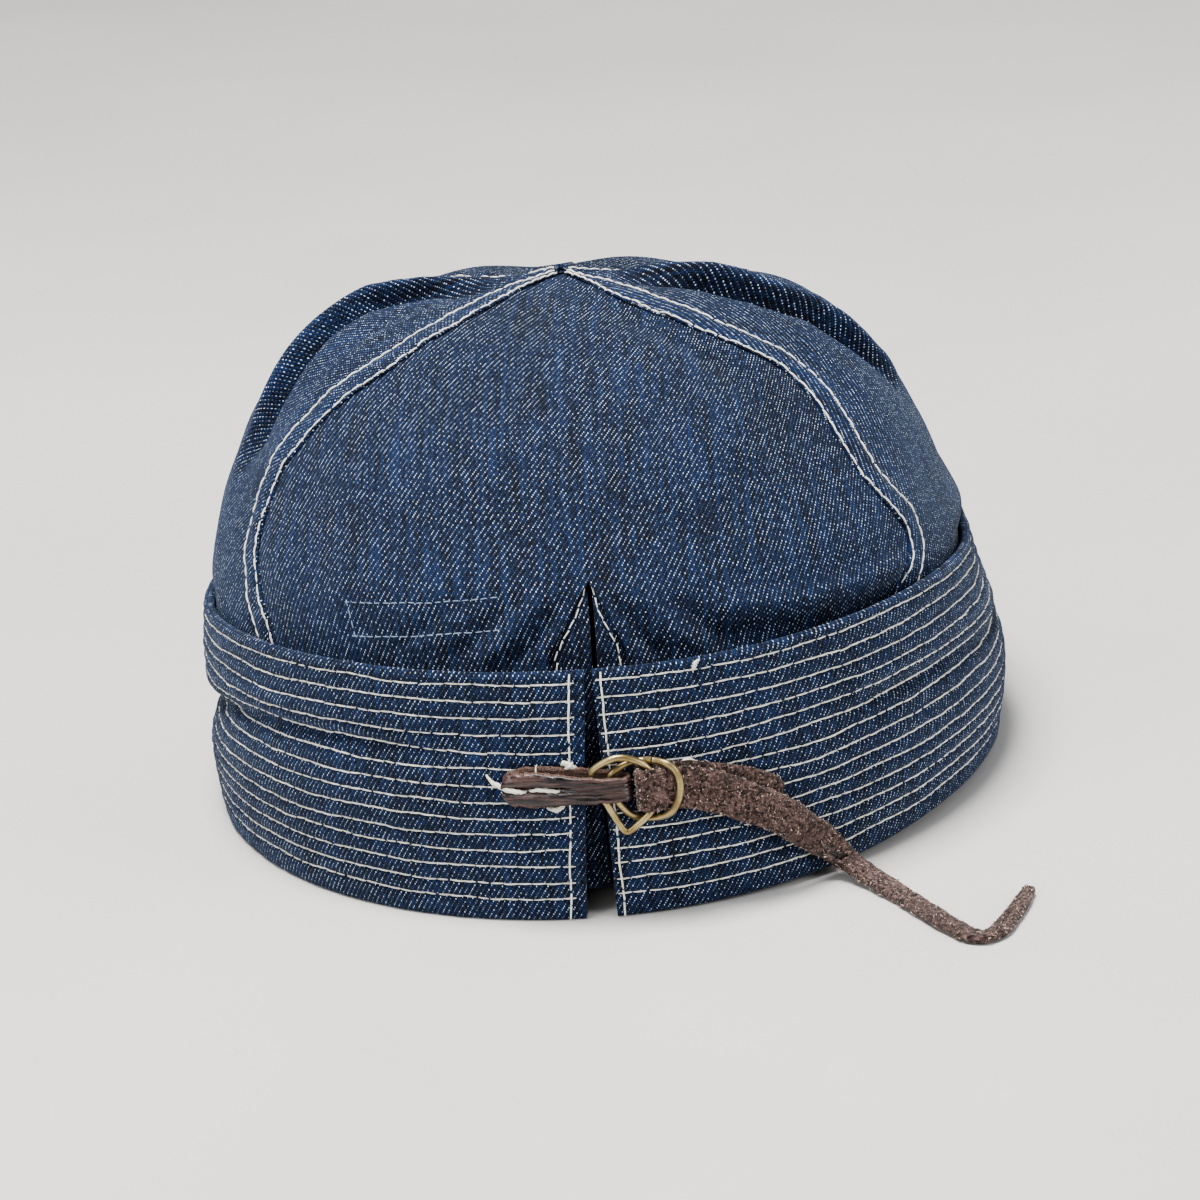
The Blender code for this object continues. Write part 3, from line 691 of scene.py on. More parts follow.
def start_tool(name, taken, sizes, seed, paint, made):
    """A node tool with named inputs: a geometry, sizes in metres or shares, a fixed seed and a material."""
    tool = bpy.data.node_groups.new(name, "GeometryNodeTree")
    sockets = [(taken, "INPUT", "Geometry", None)]
    sockets += [(label, "INPUT", "Float", value) for label, value in sizes.items()]
    sockets += [("Seed", "INPUT", "Int", seed), (paint, "INPUT", "Material", None)]
    sockets += [(made, "OUTPUT", "Geometry", None)]
    for label, way, kind, value in sockets:
        socket = tool.interface.new_socket(label, in_out=way, socket_type="NodeSocket" + kind)
        if value is not None:
            socket.default_value = value
    return tool, tool.nodes.new("NodeGroupInput").outputs


def add_step(tool, kind, inputs=(), **settings):
    """Adds a node to a tool, feeds its inputs by name or number and returns its first output."""
    node = tool.nodes.new(kind)
    for key, value in settings.items():
        setattr(node, key, value)
    for key, value in dict(inputs).items():
        feed(tool, node.inputs[key], value)
    return node.outputs[0]


def scaled(tool, value, factor):
    return add_step(tool, "ShaderNodeMath", {0: value, 1: factor}, operation="MULTIPLY")


def bent_rod(tool, start, middle, end, radius, sides):
    """A short rod along a bend through three places, each given as {axis: length}."""
    places = {name: add_step(tool, "ShaderNodeCombineXYZ", at)
              for name, at in (("Start", start), ("Middle", middle), ("End", end))}
    bend = add_step(tool, "GeometryNodeCurveQuadraticBezier", {"Resolution": 4, **places})
    circle = add_step(tool, "GeometryNodeCurvePrimitiveCircle", {"Resolution": sides, "Radius": radius})
    swept = {"Curve": bend, "Profile Curve": circle, "Fill Caps": True}
    return add_step(tool, "GeometryNodeCurveToMesh", swept)


def end_tool(tool, geometry, paint):
    painted = add_step(tool, "GeometryNodeSetMaterial", {0: geometry, "Material": paint})
    tool.links.new(painted, tool.nodes.new("NodeGroupOutput").inputs[0])
    return tool


def worked(name, obj, tool, values):
    """What a node tool makes of an object, as a piece of its own."""
    modifier = obj.modifiers.new(tool.name, "NODES")
    modifier.node_group = tool
    for item in tool.interface.items_tree:
        if item.in_out == "INPUT" and item.name in values:
            modifier[item.identifier] = values[item.name]
    graph = bpy.context.evaluated_depsgraph_get()
    mesh = bpy.data.meshes.new_from_object(obj.evaluated_get(graph), depsgraph=graph)
    obj.modifiers.remove(modifier)
    mesh.name = name
    return placed(name, mesh)


def stitch_tool():
    sizes = {"Stitch step": 0.0031, "Thread radius": 0.00025, "Stitch share": 0.93, "Wander": 0.07}
    tool, given = start_tool("lay_stitches", "Lines", sizes, 7, "Thread", "Stitches")
    step, times = partial(add_step, tool), partial(scaled, tool)
    radius = given["Thread radius"]
    half, sink = times(times(given["Stitch step"], given["Stitch share"]), 0.5), times(radius, -1.3)
    left, right = {0: times(half, -1.0), 2: sink}, {0: half, 2: sink}
    stitch = bent_rod(tool, left, {2: times(radius, 1.1)}, right, radius, 6)
    curve = step("GeometryNodeMeshToCurve", {0: given["Lines"]})
    even = step("GeometryNodeResampleCurve", {"Curve": curve, "Length": given["Stitch step"]}, mode="LENGTH")
    out = step("GeometryNodeInputNamedAttribute", {"Name": "out"}, data_type="FLOAT_VECTOR")
    first = step("FunctionNodeAlignRotationToVector", {"Vector": step("GeometryNodeInputTangent")}, axis="X")
    turned = step("FunctionNodeAlignRotationToVector",
                  {"Rotation": first, "Vector": out.node.outputs["Attribute"]}, axis="Z", pivot_axis="X")
    limits = {"Min": times(given["Wander"], -1.0), "Max": given["Wander"], "Seed": given["Seed"]}
    chance = step("FunctionNodeRandomValue", limits, data_type="FLOAT").node.outputs["Value"]
    wander = step("FunctionNodeAxisAngleToRotation", {"Axis": (0, 0, 1), "Angle": chance})
    turned = step("FunctionNodeRotateRotation", {0: turned, 1: wander}, rotation_space="LOCAL")
    laid = step("GeometryNodeInstanceOnPoints", {"Points": even, "Instance": stitch, "Rotation": turned})
    smooth = step("GeometryNodeSetShadeSmooth", {0: step("GeometryNodeRealizeInstances", {0: laid})})
    return end_tool(tool, smooth, given["Thread"])


def thread(name, colour):
    """Spun thread: a little hairy, with lighter and darker lengths."""
    made, tree, shader = new_material(name)
    place = place_on(tree)
    fibre, tone = noise(tree, place, 2400.0, 3.0), noise(tree, place, 160.0, 2.0)
    shade = mixed(tree, ramp(tree, tone, 0.3, 0.75), [c * 0.8 for c in colour], colour)
    dress(tree, shader, {"Base Color": shade, "Normal": bumped(tree, 0.5, 0.0001, fibre),
                         "Roughness": 0.75, "Sheen Weight": 0.2})
    return made


STITCHES = stitch_tool()
CREAM, PALE_BLUE = thread("thread_cream", (0.90, 0.88, 0.80)), thread("thread_blue", (0.26, 0.34, 0.46))


def sewn(name, lines, step, radius, material, share=0.93, wander=0.07):
    """Stitches along lines of (points, ways out of the cloth); the step and the radius are metres."""
    mesh = bpy.data.meshes.new(name + "_lines")
    edges, start = [], 0
    for points, _ in lines:
        edges += [(start + k, start + k + 1) for k in range(len(points) - 1)]
        start += len(points)
    mesh.from_pydata((np.concatenate([points for points, _ in lines]) / 1000 + SHIFT).tolist(), edges, [])
    outs = np.concatenate([out for _, out in lines]).astype(np.float32)
    mesh.attributes.new("out", "FLOAT_VECTOR", "POINT").data.foreach_set("vector", outs.ravel())
    guide = placed(name + "_guide", mesh)
    values = {"Stitch step": step, "Thread radius": radius, "Stitch share": share, "Wander": wander,
              "Thread": material}
    wears(worked(name, guide, STITCHES, values))
    bpy.data.objects.remove(guide)


def unit(vectors):
    return vectors / np.linalg.norm(vectors, axis=-1, keepdims=True)


def out_of(surface, first, second):
    """The way out of a surface of two coordinates, along a line on it."""
    along = surface(first + 0.05, second) - surface(first - 0.05, second)
    up = surface(first, second + 0.002) - surface(first, second - 0.002)
    return unit(np.cross(along, up))


def on_band(psi, level, off):
    return band_surface(psi, level, off), out_of(partial(band_surface, quilt=False), psi, level)


def on_crown(psi, share, lift):
    return crown(psi, share, lift), out_of(crown, psi, share)


def row_line(row, first, last):
    """One stitched row between two places round the band: its psi and its level."""
    psi = wrapped(np.linspace(first, last, 900))
    return psi, 1 - (FIRST_ROW + PITCH * (row + row_wave(band_length(psi), float(row)))) / BAND_HIGH


band_lines = []
for row in range(ROWS):
    end_level = row_line(row, 2.9, 356.4)[1][0]
    psi, level = row_line(row, band_end(0, end_level) + 1.35, band_end(1, end_level) - 2.3)
    band_lines.append(on_band(psi, level, 0.30))
for end, inside in ((0, 1.05), (1, -2.0)):
    level = np.linspace(0.035, 0.965, 60)
    psi = wrapped(band_end(end, level)) + inside + 0.12 * rough(level * 9, level * 0, 41)
    band_lines.append(on_band(psi, level, 0.36))
sewn("stitches_band", band_lines, 0.0031, 0.00021, CREAM, share=0.96)

crown_lines = []
for seam, way in (("left_back", -1), ("right_back", 1), ("left_front", 1), ("right_front", -1)):
    share = np.linspace(float(share_of(band_smooth(seam_line(seam, 0.25), TOP) - 3)), 0.992, 260)
    scale = seam_scale(seam, share)
    for across in (-TWIN, TWIN):
        psi = seam_line(seam, share) + way * across * narrow(share) / np.maximum(scale, 0.02)
        psi = psi + 0.2 * rough(share * 34, share * 0 + across, 51) / np.maximum(scale, 0.3)
        crown_lines.append(on_crown(psi, share, lap_lift(seam, psi, share) + 0.16))
sewn("stitches_crown", crown_lines, 0.0029, 0.00022, CREAM)

vent_lines = []
for side in (0, 1):
    heights = np.linspace(49, VENT_TIP - 1.4, 60)
    psi = vent_edge(side, heights) + (1 - 2 * side) * ease(VENT_TIP, VENT_TIP - 6, heights)
    vent_lines.append(on_crown(psi, share_of(heights), 0.26 - FACING_DEPTH))
sewn("stitches_vent", vent_lines, 0.0024, 0.00015, CREAM, share=0.85, wander=0.16)

patch_lines = []
for k, (start, end) in enumerate(((PATCH[0], PATCH[1]), (PATCH[3], PATCH[2]), (PATCH[0], PATCH[3]))):
    t = np.linspace(0, 1, 60)
    psi, share = start[0] + (end[0] - start[0]) * t, start[1] + (end[1] - start[1]) * t
    share = share + 0.0012 * rough(t * 7, t * 0 + k, 61)
    patch_lines.append(on_crown(psi, share, patch_lift(psi, share) - 0.09))
sewn("stitches_patch", patch_lines, 0.0021, 0.00013, PALE_BLUE, share=0.8)

# The loop tab: a strip of vegetable-tanned leather doubled over the outer ring's straight side, rolled so
# that its grain side shines outwards with a groove along the middle, and sewn through the band with thread.
# Its lower and upper layers: x, distance off the band, height, width.
TAB = [(-17.7, 0.85, 30.6, 3.8), (-16.2, 0.85, 30.8, 7.2), (-12, 0.85, 31.0, 8.8), (-6, 0.85, 31.0, 8.6),
       (0, 0.85, 30.8, 7.6), (4, 0.85, 30.6, 6.6), (6.2, 0.85, 30.5, 5.8)]
TAB_TOP = [(6.2, 4.3, 30.5, 5.4), (3, 4.3, 30.6, 5.6), (-1, 4.0, 30.8, 6.0), (-6, 3.2, 31.0, 7.0),
           (-12, 2.6, 31.0, 7.9), (-16.2, 2.3, 30.8, 6.9), (-17.7, 2.1, 30.7, 3.4)]
TAB_THICK = 1.1


def spline(rows, steps, closed=False):
    """A smooth line through the rows, which may hold any number of columns."""
    rows = np.array(rows, float)
    if closed:
        rows = np.concatenate([rows[-1:], rows, rows[:2]])
    else:
        rows = np.concatenate([rows[:1], rows, rows[-1:]])
    t = (np.arange(steps) / steps)[:, None, None]
    a, b, c, d = rows[None, :-3], rows[None, 1:-2], rows[None, 2:-1], rows[None, 3:]
    line = 2 * b + (c - a) * t + (2 * a - 5 * b + 4 * c - d) * t ** 2 + (3 * b - a - 3 * c + d) * t ** 3
    line = (0.5 * line).transpose(1, 0, 2).reshape(-1, rows.shape[1])
    return line if closed else np.concatenate([line, rows[-1:]])


def closure(x, off, z):
    """Places by the closure, and the way out of the band there, from x, distance off the band and height."""
    x, off, z = np.broadcast_arrays(*(np.asarray(value, float) for value in (x, off, z)))
    turned = np.arcsin(x / BAND_A)
    psi = np.degrees(turned)
    normal = unit(np.stack([np.sin(turned) / BAND_A, -np.cos(turned) / BAND_B, 0 * turned], -1))
    inset = band_inset(psi, z)
    return around(psi, BAND_A - inset, BAND_B - inset, z) + normal * off[..., None], normal


def tube_faces(rows, columns, first=0):
    """Quads round a tube whose rows of points are closed rings, and the faces that close its ends."""
    index = first + np.arange(rows * columns).reshape(rows, columns)
    beside = np.roll(index, -1, axis=1)
    quads = np.stack([index[:-1], beside[:-1], beside[1:], index[1:]], -1).reshape(-1, 4)
    return quads, [index[0][::-1], index[-1]]


def strip(name, places, faces, widths, thick, relief, material):
    """A strip along places. Relief gives, for a distance along it and a place across it, how far its front
    stands out, how far the whole strip does, the share of its width and its wear."""
    run = np.concatenate([[0], np.cumsum(np.linalg.norm(np.diff(places, axis=0), axis=1))])
    along = unit(np.gradient(places, axis=0))
    side = unit(np.cross(faces, along))
    faces = np.cross(along, side)
    across = np.sin(np.linspace(-np.pi / 2, np.pi / 2, 31))
    v = np.concatenate([across, across[-2:0:-1]])[None]
    front = np.concatenate([np.ones(31), np.zeros(29)])[None]
    s = run[:, None] + 0 * v
    rise, bend, wide, wear_and_shade = relief(s, v + 0 * s, front + 0 * s)
    full = np.sqrt(np.maximum(1 - v ** 8, 0))
    out = thick / 2 * full * (2 * front - 1) + rise * full + bend
    aside = v * widths[:, None] / 2
    points = places[:, None] + side[:, None] * (aside * wide)[..., None] + faces[:, None] * out[..., None]
    flat = np.stack([s, aside + 20 * (1 - front)], -1)
    quads, ends = tube_faces(*points.shape[:2])
    return mesh_object(name, points.reshape(-1, 3), quads, flat.reshape(-1, 2), wear_and_shade.ravel(),
                       (material,), ends)


def cut_edge(s, v, *waves):
    """The share of a strip's width where its cut edges wander, in waves of (size, length, turn, seed)."""
    wander = sum(size * rough(s / length, np.sign(v) * turn, seed) for size, length, turn, seed in waves)
    return 1 + wander * (np.abs(v) > 0.5)


def leather(name):
    """Dark glossy grain leather creased along its length, with painted pinkish highlight streaks and a matt
    rust-brown cut edge where worn.
    """
    made, tree, shader = new_material(name)
    plus, minus, times = sums(tree)
    uv = flat_place(tree)
    long = noise(tree, stretched(tree, uv, 110.0, 1500.0), 1.0, 5.0)
    pores, blotch = noise(tree, uv, 3400.0, 4.0), minus(noise(tree, uv, 420.0, 4.0), 0.5)
    worn_and_shaded = ramp(tree, plus(wear_and_shade_on(tree), times(blotch, 0.9)), 0.25, 0.95)
    # The pale pinkish streaks along the creases are painted highlights, over the dark grain.
    grain_with_painted_highlights = mixed(tree, ramp(tree, long, 0.42, 0.68), (0.0060, 0.0030, 0.003), (0.095, 0.047, 0.041))
    rust = mixed(tree, ramp(tree, pores, 0.35, 0.68), (0.020, 0.010, 0.008), (0.19, 0.098, 0.068))
    dress(tree, shader, {
        "Base Color": mixed(tree, worn_and_shaded, grain_with_painted_highlights, rust), "Specular IOR Level": 0.6,
        "Roughness": plus(plus(0.21, times(worn_and_shaded, 0.45)), times(blotch, 0.35)),
        "Normal": bumped(tree, 0.9, 0.00028, plus(long, times(pores, plus(0.22, worn_and_shaded))))})
    return made


def tab_relief(s, v, front):
    """The roll's two lobes at its sewn end, which run out into fine creases towards the ring."""
    top, sewn_end = front * ease(23, 29, s), ease(37, 44, s)
    lobes = 0.62 * (1 - ((np.abs(v) - 0.52) / 0.5) ** 2) - 0.75 * bell(v, 0.16) - 0.1
    creases = 0.18 - 1.25 * sum(deep * bell(v - at - 0.04 * np.sin(s * 0.5 + at * 9), 0.07)
                                for at, deep in ((-0.5, 0.26), (-0.12, 0.34), (0.16, 0.20), (0.52, 0.30)))
    lumps = 0.12 * rough(s / 1.6, v * 2.2, 71) + 0.05 * rough(s / 0.5, v * 6, 72)
    edge = cut_edge(s, v, (0.05, 1.1, 3, 73), (0.025, 0.35, 5, 74))
    wear_and_shade = 0.95 * ease(0.80, 1.0, np.abs(v)) + 0.75 * (1 - top) * ease(0, 5, s)
    return (lobes * sewn_end + creases * (1 - sewn_end)) * top + lumps * front, 0 * s, edge, wear_and_shade


HALF_TURN = np.linspace(0, np.pi, 18)[1:-1]


def turned_back(x, off, z, radius, way):
    """A strip's half turn round a ring, towards the right (way 1) or the left (way -1), and its ways out."""
    cosine, sine = np.cos(HALF_TURN), np.sin(HALF_TURN)
    line, out = closure(x + way * radius * sine, off - radius * cosine, z)
    return line, -way * out * cosine[:, None] + np.array([1, 0, 0]) * sine[:, None]


def tab_line():
    """The tab's middle line along its lower layer, round the ring and back along its upper one."""
    low, high = spline(TAB, 12), spline(TAB_TOP, 12)
    places, normals = closure(*low.T[:3])
    x, off, z, width = TAB[-1]
    radius = (TAB_TOP[0][1] - off) / 2
    bend, out = turned_back(x, off + radius, z, radius, 1)
    over, up = closure(*high.T[:3])
    widths = np.concatenate([low[:, 3], np.interp(HALF_TURN, [0, np.pi], [width, TAB_TOP[0][3]]), high[:, 3]])
    return np.concatenate([places, bend, over]), np.concatenate([-normals, out, up]), widths


wears(strip("tab_leather", *tab_line(), TAB_THICK, tab_relief, leather("tab_leather")), "loop_tab")

# The tab's sewing: two long stitches of thick waxed thread lie in the groove, a thin one crosses the edge,
# and knots and tails of the same thread stand beside the leather and on the band where it was tied off.
# Each thread is a line of x, distance off the band, height and radius.
TAB_THREADS = [
    [(-20.8, 0.0, 32.0, 0.2), (-20.3, 0.6, 31.8, 0.42), (-18.6, 1.7, 31.5, 0.5), (-16.6, 2.9, 31.1, 0.54),
     (-14.6, 3.15, 30.8, 0.5), (-13.3, 3.0, 30.6, 0.34), (-12.8, 2.3, 30.6, 0.2)],
    [(-21.6, 0.1, 33.2, 0.2), (-20.9, 0.5, 32.5, 0.3), (-20.3, 0.4, 31.6, 0.34), (-20.2, 0.1, 30.7, 0.2)],
    [(-12.2, 2.3, 30.8, 0.2), (-11.7, 3.0, 30.9, 0.3), (-10.2, 3.3, 31.2, 0.42), (-8.2, 3.4, 31.0, 0.44),
     (-6.5, 3.5, 30.8, 0.36), (-6.0, 2.9, 30.8, 0.2)],
    [(-10.6, 0.6, 35.6, 0.11), (-10.6, 2.2, 35.5, 0.11), (-10.4, 3.2, 34.3, 0.11), (-10.3, 3.5, 32.8, 0.11),
     (-10.4, 3.0, 31.2, 0.10)],
    [(-5.5, 0.3, 35.2, 0.3), (-5.0, 0.9, 35.9, 0.52), (-4.0, 1.0, 35.5, 0.62), (-3.2, 0.8, 34.8, 0.58),
     (-2.4, 0.2, 34.4, 0.3)],
    [(-5.1, 0.4, 34.5, 0.2), (-4.4, 1.4, 35.0, 0.36), (-3.6, 1.4, 35.4, 0.36), (-3.2, 0.7, 35.9, 0.2)],
    [(-9.3, 0.2, 26.1, 0.3), (-8.2, 0.7, 25.9, 0.5), (-7.0, 0.8, 25.9, 0.56), (-6.1, 0.6, 26.3, 0.5),
     (-5.5, 0.2, 26.7, 0.3)],
    [(-7.7, 0.3, 25.1, 0.2), (-7.2, 1.0, 25.5, 0.32), (-6.5, 1.0, 26.2, 0.32), (-6.1, 0.3, 26.9, 0.2)],
    [(19.0, 0.2, 33.2, 0.3), (19.8, 0.7, 33.6, 0.52), (20.8, 0.7, 33.5, 0.56), (21.8, 0.2, 33.0, 0.3)],
    [(23.2, 0.1, 52.4, 0.25), (23.6, 0.6, 53.2, 0.44), (24.0, 0.6, 54.0, 0.42), (24.9, 0.1, 54.3, 0.22)],
]
THREAD_SIDES = 14


def circles(along, aside, sides):
    """Circles of radius 1 square to a line, none turned against the next, and their points' angles."""
    first = unit(np.cross(along, aside))
    second = np.cross(along, first)
    angle = np.linspace(0, 2 * np.pi, sides, endpoint=False)
    cosine, sine = np.cos(angle)[None, :, None], np.sin(angle)[None, :, None]
    return angle, first[:, None] * cosine + second[:, None] * sine


def cord(name, lines, material):
    """Laid threads along lines of (x, distance off the band, height, radius), as one piece."""
    points, quads, ends, count = [], [], [], 0
    for k, rows in enumerate(lines):
        rows = spline(rows, 8)
        line, _ = closure(*rows.T[:3])
        angle, rings = circles(unit(np.gradient(line, axis=0)), [0.05, -1, 0.13], THREAD_SIDES)
        run = np.arange(len(line))[:, None] + 0 * angle[None]
        lay = 1 + 0.14 * np.sin(3 * angle[None] - run * 0.95) + 0.06 * rough(run / 2, angle[None] * 2, 80 + k)
        points.append((line[:, None] + (rows[:, 3:4] * lay)[..., None] * rings).reshape(-1, 3))
        around_it, closing = tube_faces(len(line), THREAD_SIDES, count)
        quads.append(around_it)
        ends += closing
        count += len(points[-1])
    piece = mesh_object(name, np.concatenate(points), np.concatenate(quads), materials=(material,), ends=ends)
    wears(piece)


cord("tab_thread", TAB_THREADS, thread("thread_waxed", (0.83, 0.80, 0.70)))

# The two D rings: brass wire 1.5 mm thick, bent to a D and left with an open joint; the real rings are
# darkened in the hollows and rubbed bright outside, and here the brass is darker and brighter in random
# patches. The strap runs through both and back between them, which holds it.
# Their lines: x, distance off the band, height.
RING_OUTER = [(0.5, 2.6, 33.1), (1.6, 2.7, 35.2), (5.8, 3.1, 37.0), (9.6, 3.1, 36.0), (12.4, 3.1, 33.4),
              (13.5, 3.1, 30.6), (13.3, 3.1, 27.6), (11.7, 3.1, 24.6), (9.2, 3.0, 22.2), (6.7, 2.8, 20.6),
              (5.3, 2.7, 22.4), (3.5, 2.6, 26.2), (2.0, 2.6, 29.6)]
RING_INNER = [(4.2, 2.45, 32.6), (5.6, 2.3, 34.2), (8.4, 1.3, 35.1), (11.2, 1.3, 35.3), (13.0, 2.9, 35.6),
              (15.4, 5.2, 35.3), (16.9, 5.9, 33.6), (17.4, 6.1, 30.6), (16.8, 6.2, 27.6), (15.4, 5.9, 25.0),
              (13.6, 3.4, 23.3), (11.2, 1.2, 22.6), (8.4, 1.3, 23.4), (6.3, 1.9, 25.6), (4.9, 2.45, 28.6)]
WIRE_RADIUS, JOINT_GAP, WIRE_SIDES = 0.75, 0.22, 24


def brass():
    made, tree, shader = new_material("antique_brass")
    place = place_on(tree)
    rubbed = ramp(tree, noise(tree, place, 260.0, 4.0), 0.36, 0.66)
    dress(tree, shader, {
        "Base Color": mixed(tree, rubbed, (0.27, 0.205, 0.10), (0.44, 0.36, 0.195)), "Metallic": 0.92,
        "Roughness": 0.36, "Normal": bumped(tree, 0.35, 0.00005, noise(tree, place, 4200.0, 3.0))})
    return made


def wire(name, rows, joint, node, material):
    """A bent wire ring whose two ends meet at row joint, with a hair's gap and rounded rims."""
    rows = np.roll(np.array(rows), -joint, axis=0)
    line, _ = closure(*spline(rows, 14, closed=True).T)
    line = np.concatenate([line, line[:1]])
    along = np.gradient(line, axis=0)
    along[0] = along[-1] = line[1] - line[-2]
    along = unit(along)
    line[0], line[-1] = line[0] + along[0] * JOINT_GAP, line[-1] - along[-1] * JOINT_GAP
    _, rings = circles(along, [0.05, -1, 0.1], WIRE_SIDES)
    rims = [(line[k] + along[k] * way * 0.05 + rings[k] * WIRE_RADIUS * 0.88)[None]
            for k, way in ((0, -1), (-1, 1))]
    points = np.concatenate([rims[0], line[:, None] + rings * WIRE_RADIUS, rims[1]])
    quads, ends = tube_faces(len(points), WIRE_SIDES)
    wears(mesh_object(name, points.reshape(-1, 3), quads, materials=(material,), ends=ends), node)


BRASS = brass()
wire("ring_outer", RING_OUTER, 12, "d_ring_outer", BRASS)
wire("ring_inner", RING_INNER, 4, "d_ring_inner", BRASS)

# The strap: a long tapered strip of dark brown split leather, flesh side out, so it is matt and covered in
# short curly fibres. It comes off the band, folds back over the outer ring and trails onto the floor.
# Its lines by the band: x, distance off the band, height, width. On the floor: x, y, height, width, flatness.
TONGUE = [(38.4, 1.4, 22.6, 4.6), (35.5, 1.3, 24.0, 7.6), (31, 1.3, 25.8, 8.4), (24, 1.2, 28.2, 8.8),
          (18, 1.2, 29.4, 9.2), (13.6, 1.2, 29.8, 9.2)]
TAIL = [(13.2, 5.0, 29.8, 9.2), (15.6, 4.5, 29.6, 9.2), (18.4, 3.8, 29.2, 9.2), (22.4, 3.6, 27.9, 9.2),
        (28, 3.5, 25.0, 8.8), (34.4, 3.5, 20.8, 8.4), (38.6, 3.0, 17.0, 8.1), (42.4, 2.2, 13.2, 7.6),
        (47, 1.5, 8.6, 6.9)]
FLOOR_TAIL = [(51.6, -89.6, 4.0, 6.4, 0.45), (56.2, -95.0, 2.0, 6.0, 0.9), (62.2, -104.4, 1.1, 5.6, 1.0),
              (66.9, -113.7, 1.1, 5.3, 1.0), (71.6, -122.5, 1.1, 5.0, 1.0), (75.5, -128.4, 1.1, 4.8, 1.0),
              (78.6, -130.0, 1.1, 4.6, 1.0), (81.4, -127.4, 1.1, 4.4, 1.0), (83.8, -122.1, 1.1, 4.2, 1.0),
              (86.3, -115.1, 1.1, 3.7, 1.0), (89.0, -107.0, 1.1, 2.6, 1.0)]
FOLD_X, FOLD_OFF, FOLD_Z, FOLD_RADIUS = 11.6, 3.1, 29.8, 1.9
STRAP_THICK, LEAVES_BAND_AT = 1.5, 34


def suede(name):
    """Rough split leather: curled fibres, lighter at their tips, on a dark ground."""
    made, tree, shader = new_material(name)
    plus, _, times = sums(tree)
    uv = flat_place(tree)
    nap, curls, tone = noise(tree, uv, 1500.0, 5.0), noise(tree, uv, 620.0, 3.0), noise(tree, uv, 70.0, 3.0)
    curls.node.inputs["Distortion"].default_value = 1.6
    base = mixed(tree, ramp(tree, curls, 0.36, 0.68), (0.014, 0.009, 0.0075), (0.145, 0.092, 0.080))
    base = mixed(tree, times(ramp(tree, nap, 0.5, 0.75), 0.6), base, (0.40, 0.27, 0.235))
    base = mixed(tree, times(ramp(tree, tone, 0.4, 0.7), 0.35), base, (0.018, 0.011, 0.009))
    height = plus(nap, times(curls, 1.4))
    dress(tree, shader, {"Base Color": base, "Normal": bumped(tree, 1.0, 0.0003, height),
                         "Roughness": 0.95, "Sheen Weight": 0.15, "Specular IOR Level": 0.2})
    return made


def strap_line():
    """The strap's middle line: along the band, round the outer ring, back, and down to the floor."""
    low, high, laid = spline(TONGUE, 10), spline(TAIL, 10), spline(FLOOR_TAIL, 10)
    places, normals = closure(*low.T[:3])
    bend, out = turned_back(FOLD_X, FOLD_OFF, FOLD_Z, FOLD_RADIUS, -1)
    over, up = closure(*high.T[:3])
    off_band = closure(BAND_A * math.sin(math.radians(LEAVES_BAND_AT)), 0, 10)[1]
    down = -off_band * (1 - laid[:, 4:5]) + np.array([0, 0, -1]) * laid[:, 4:5]
    widths = np.concatenate([low[:, 3], 0 * HALF_TURN + TAIL[0][3], high[:, 3], laid[:, 3]])
    line = np.concatenate([places, bend, over, laid[:, :3]])
    return line, np.concatenate([normals, out, -up, down]), widths


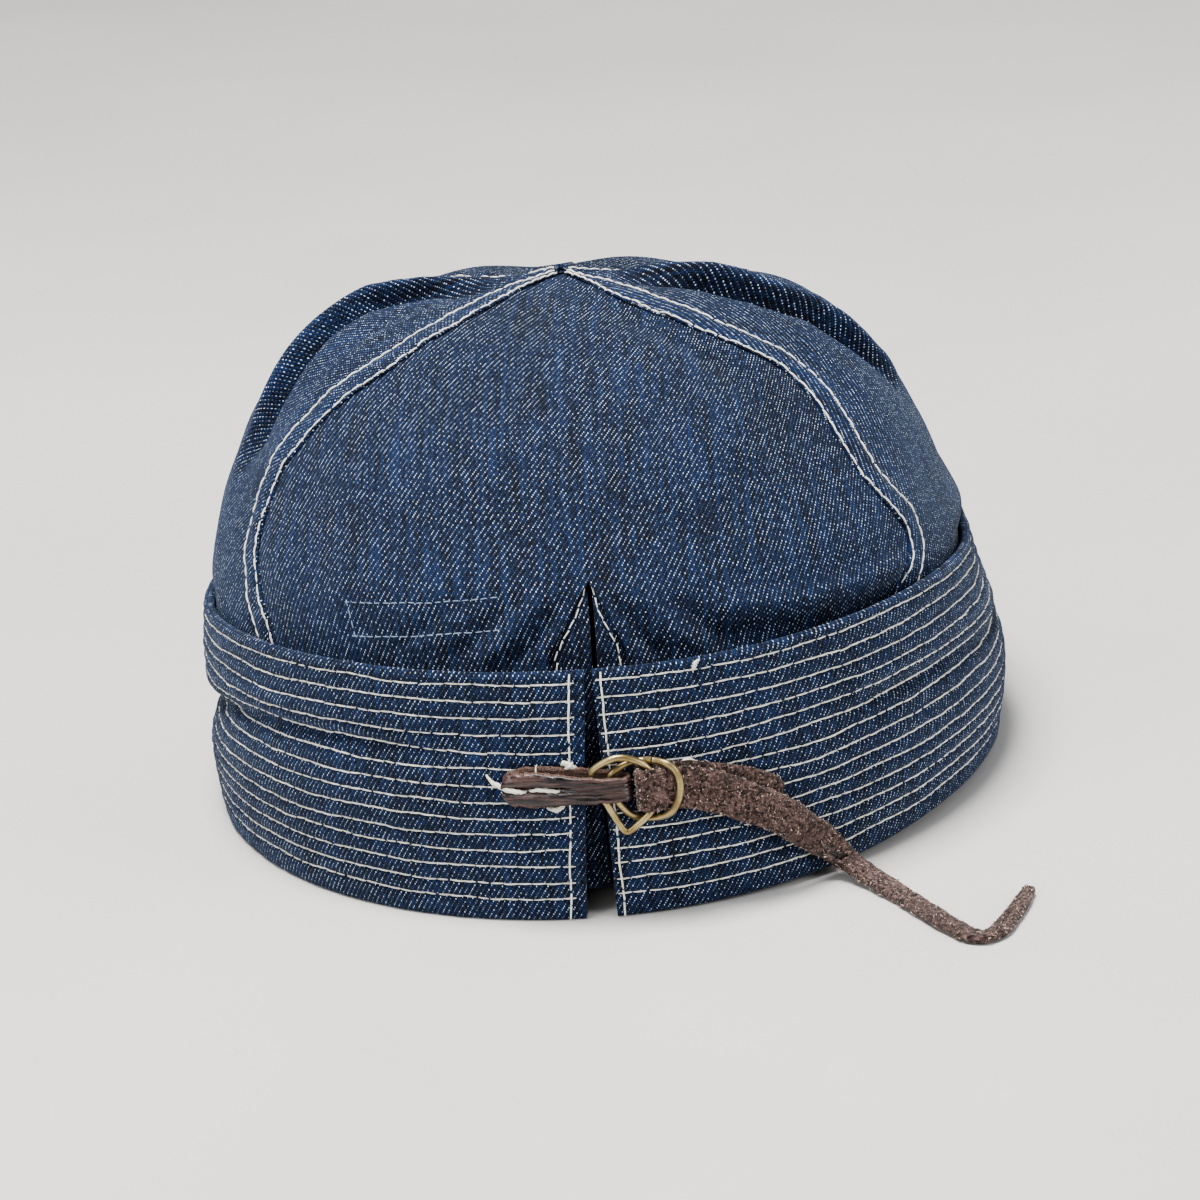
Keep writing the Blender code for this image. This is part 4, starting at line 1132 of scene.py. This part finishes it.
def strap_relief(s, v, front):
    """The strap's cut edges wander, its surface is lumpy, and the tongue's upper edge curls off the band."""
    bend = (1 - ease(9, 20, s)) * 3.1 * ease(0.0, 1.0, v) * ease(0.5, 4, s)
    lumps = 0.16 * rough(s / 1.4, v * 2.4, 91) + 0.10 * rough(s / 0.5, v * 7, 92)
    edge = cut_edge(s, v, (0.06, 4.5, 3, 93), (0.035, 0.9, 5, 94))
    dish = -0.25 * (1 - v ** 2) * ease(34, 44, s)
    return lumps * (front - 0.5) * 2, bend + dish, edge, 0 * s


def fibre_tool():
    sizes = {"Fibres per square metre": 1.4e6, "Fibre length": 0.0011, "Fibre radius": 0.000065}
    tool, given = start_tool("grow_fibres", "Leather", sizes, 3, "Fibre", "Fibres")
    step = partial(add_step, tool)
    times = partial(scaled, tool, given["Fibre length"])
    fibre = bent_rod(tool, {0: times(-0.5), 2: times(-0.06)}, {1: times(0.55), 2: times(0.42)},
                     {0: times(0.42), 2: times(0.10)}, given["Fibre radius"], 3)
    spread = step("GeometryNodeDistributePointsOnFaces", {
        "Mesh": given["Leather"], "Density": given["Fibres per square metre"], "Seed": given["Seed"]})
    limits = {"Min": (-0.5, -0.5, 0.0), "Max": (0.5, 0.5, math.tau), "Seed": given["Seed"]}
    turn = step("FunctionNodeRandomValue", limits, data_type="FLOAT_VECTOR").node.outputs["Value"]
    turned = step("FunctionNodeRotateRotation", {0: spread.node.outputs["Rotation"], 1: turn},
                  rotation_space="LOCAL")
    limits = {"Min": 0.35, "Max": 1.5, "Seed": given["Seed"]}
    size = step("FunctionNodeRandomValue", limits, data_type="FLOAT")
    size = [out for out in size.node.outputs if out.enabled][0]
    laid = step("GeometryNodeInstanceOnPoints", {
        "Points": spread, "Instance": fibre, "Rotation": turned, "Scale": size})
    return end_tool(tool, step("GeometryNodeRealizeInstances", {0: laid}), given["Fibre"])


def fibre_paint():
    made, tree, shader = new_material("suede_fibre")
    tone = ramp(tree, noise(tree, place_on(tree), 1400.0, 2.0), 0.36, 0.66)
    dress(tree, shader, {"Base Color": mixed(tree, tone, (0.035, 0.021, 0.018), (0.86, 0.66, 0.58)),
                         "Roughness": 0.8})
    return made


strap = strip("strap_suede", *strap_line(), STRAP_THICK, strap_relief, suede("suede"))
fibres = worked("strap_fibres", strap, fibre_tool(), {"Fibre": fibre_paint()})
wears(strap, "strap")
wears(fibres)
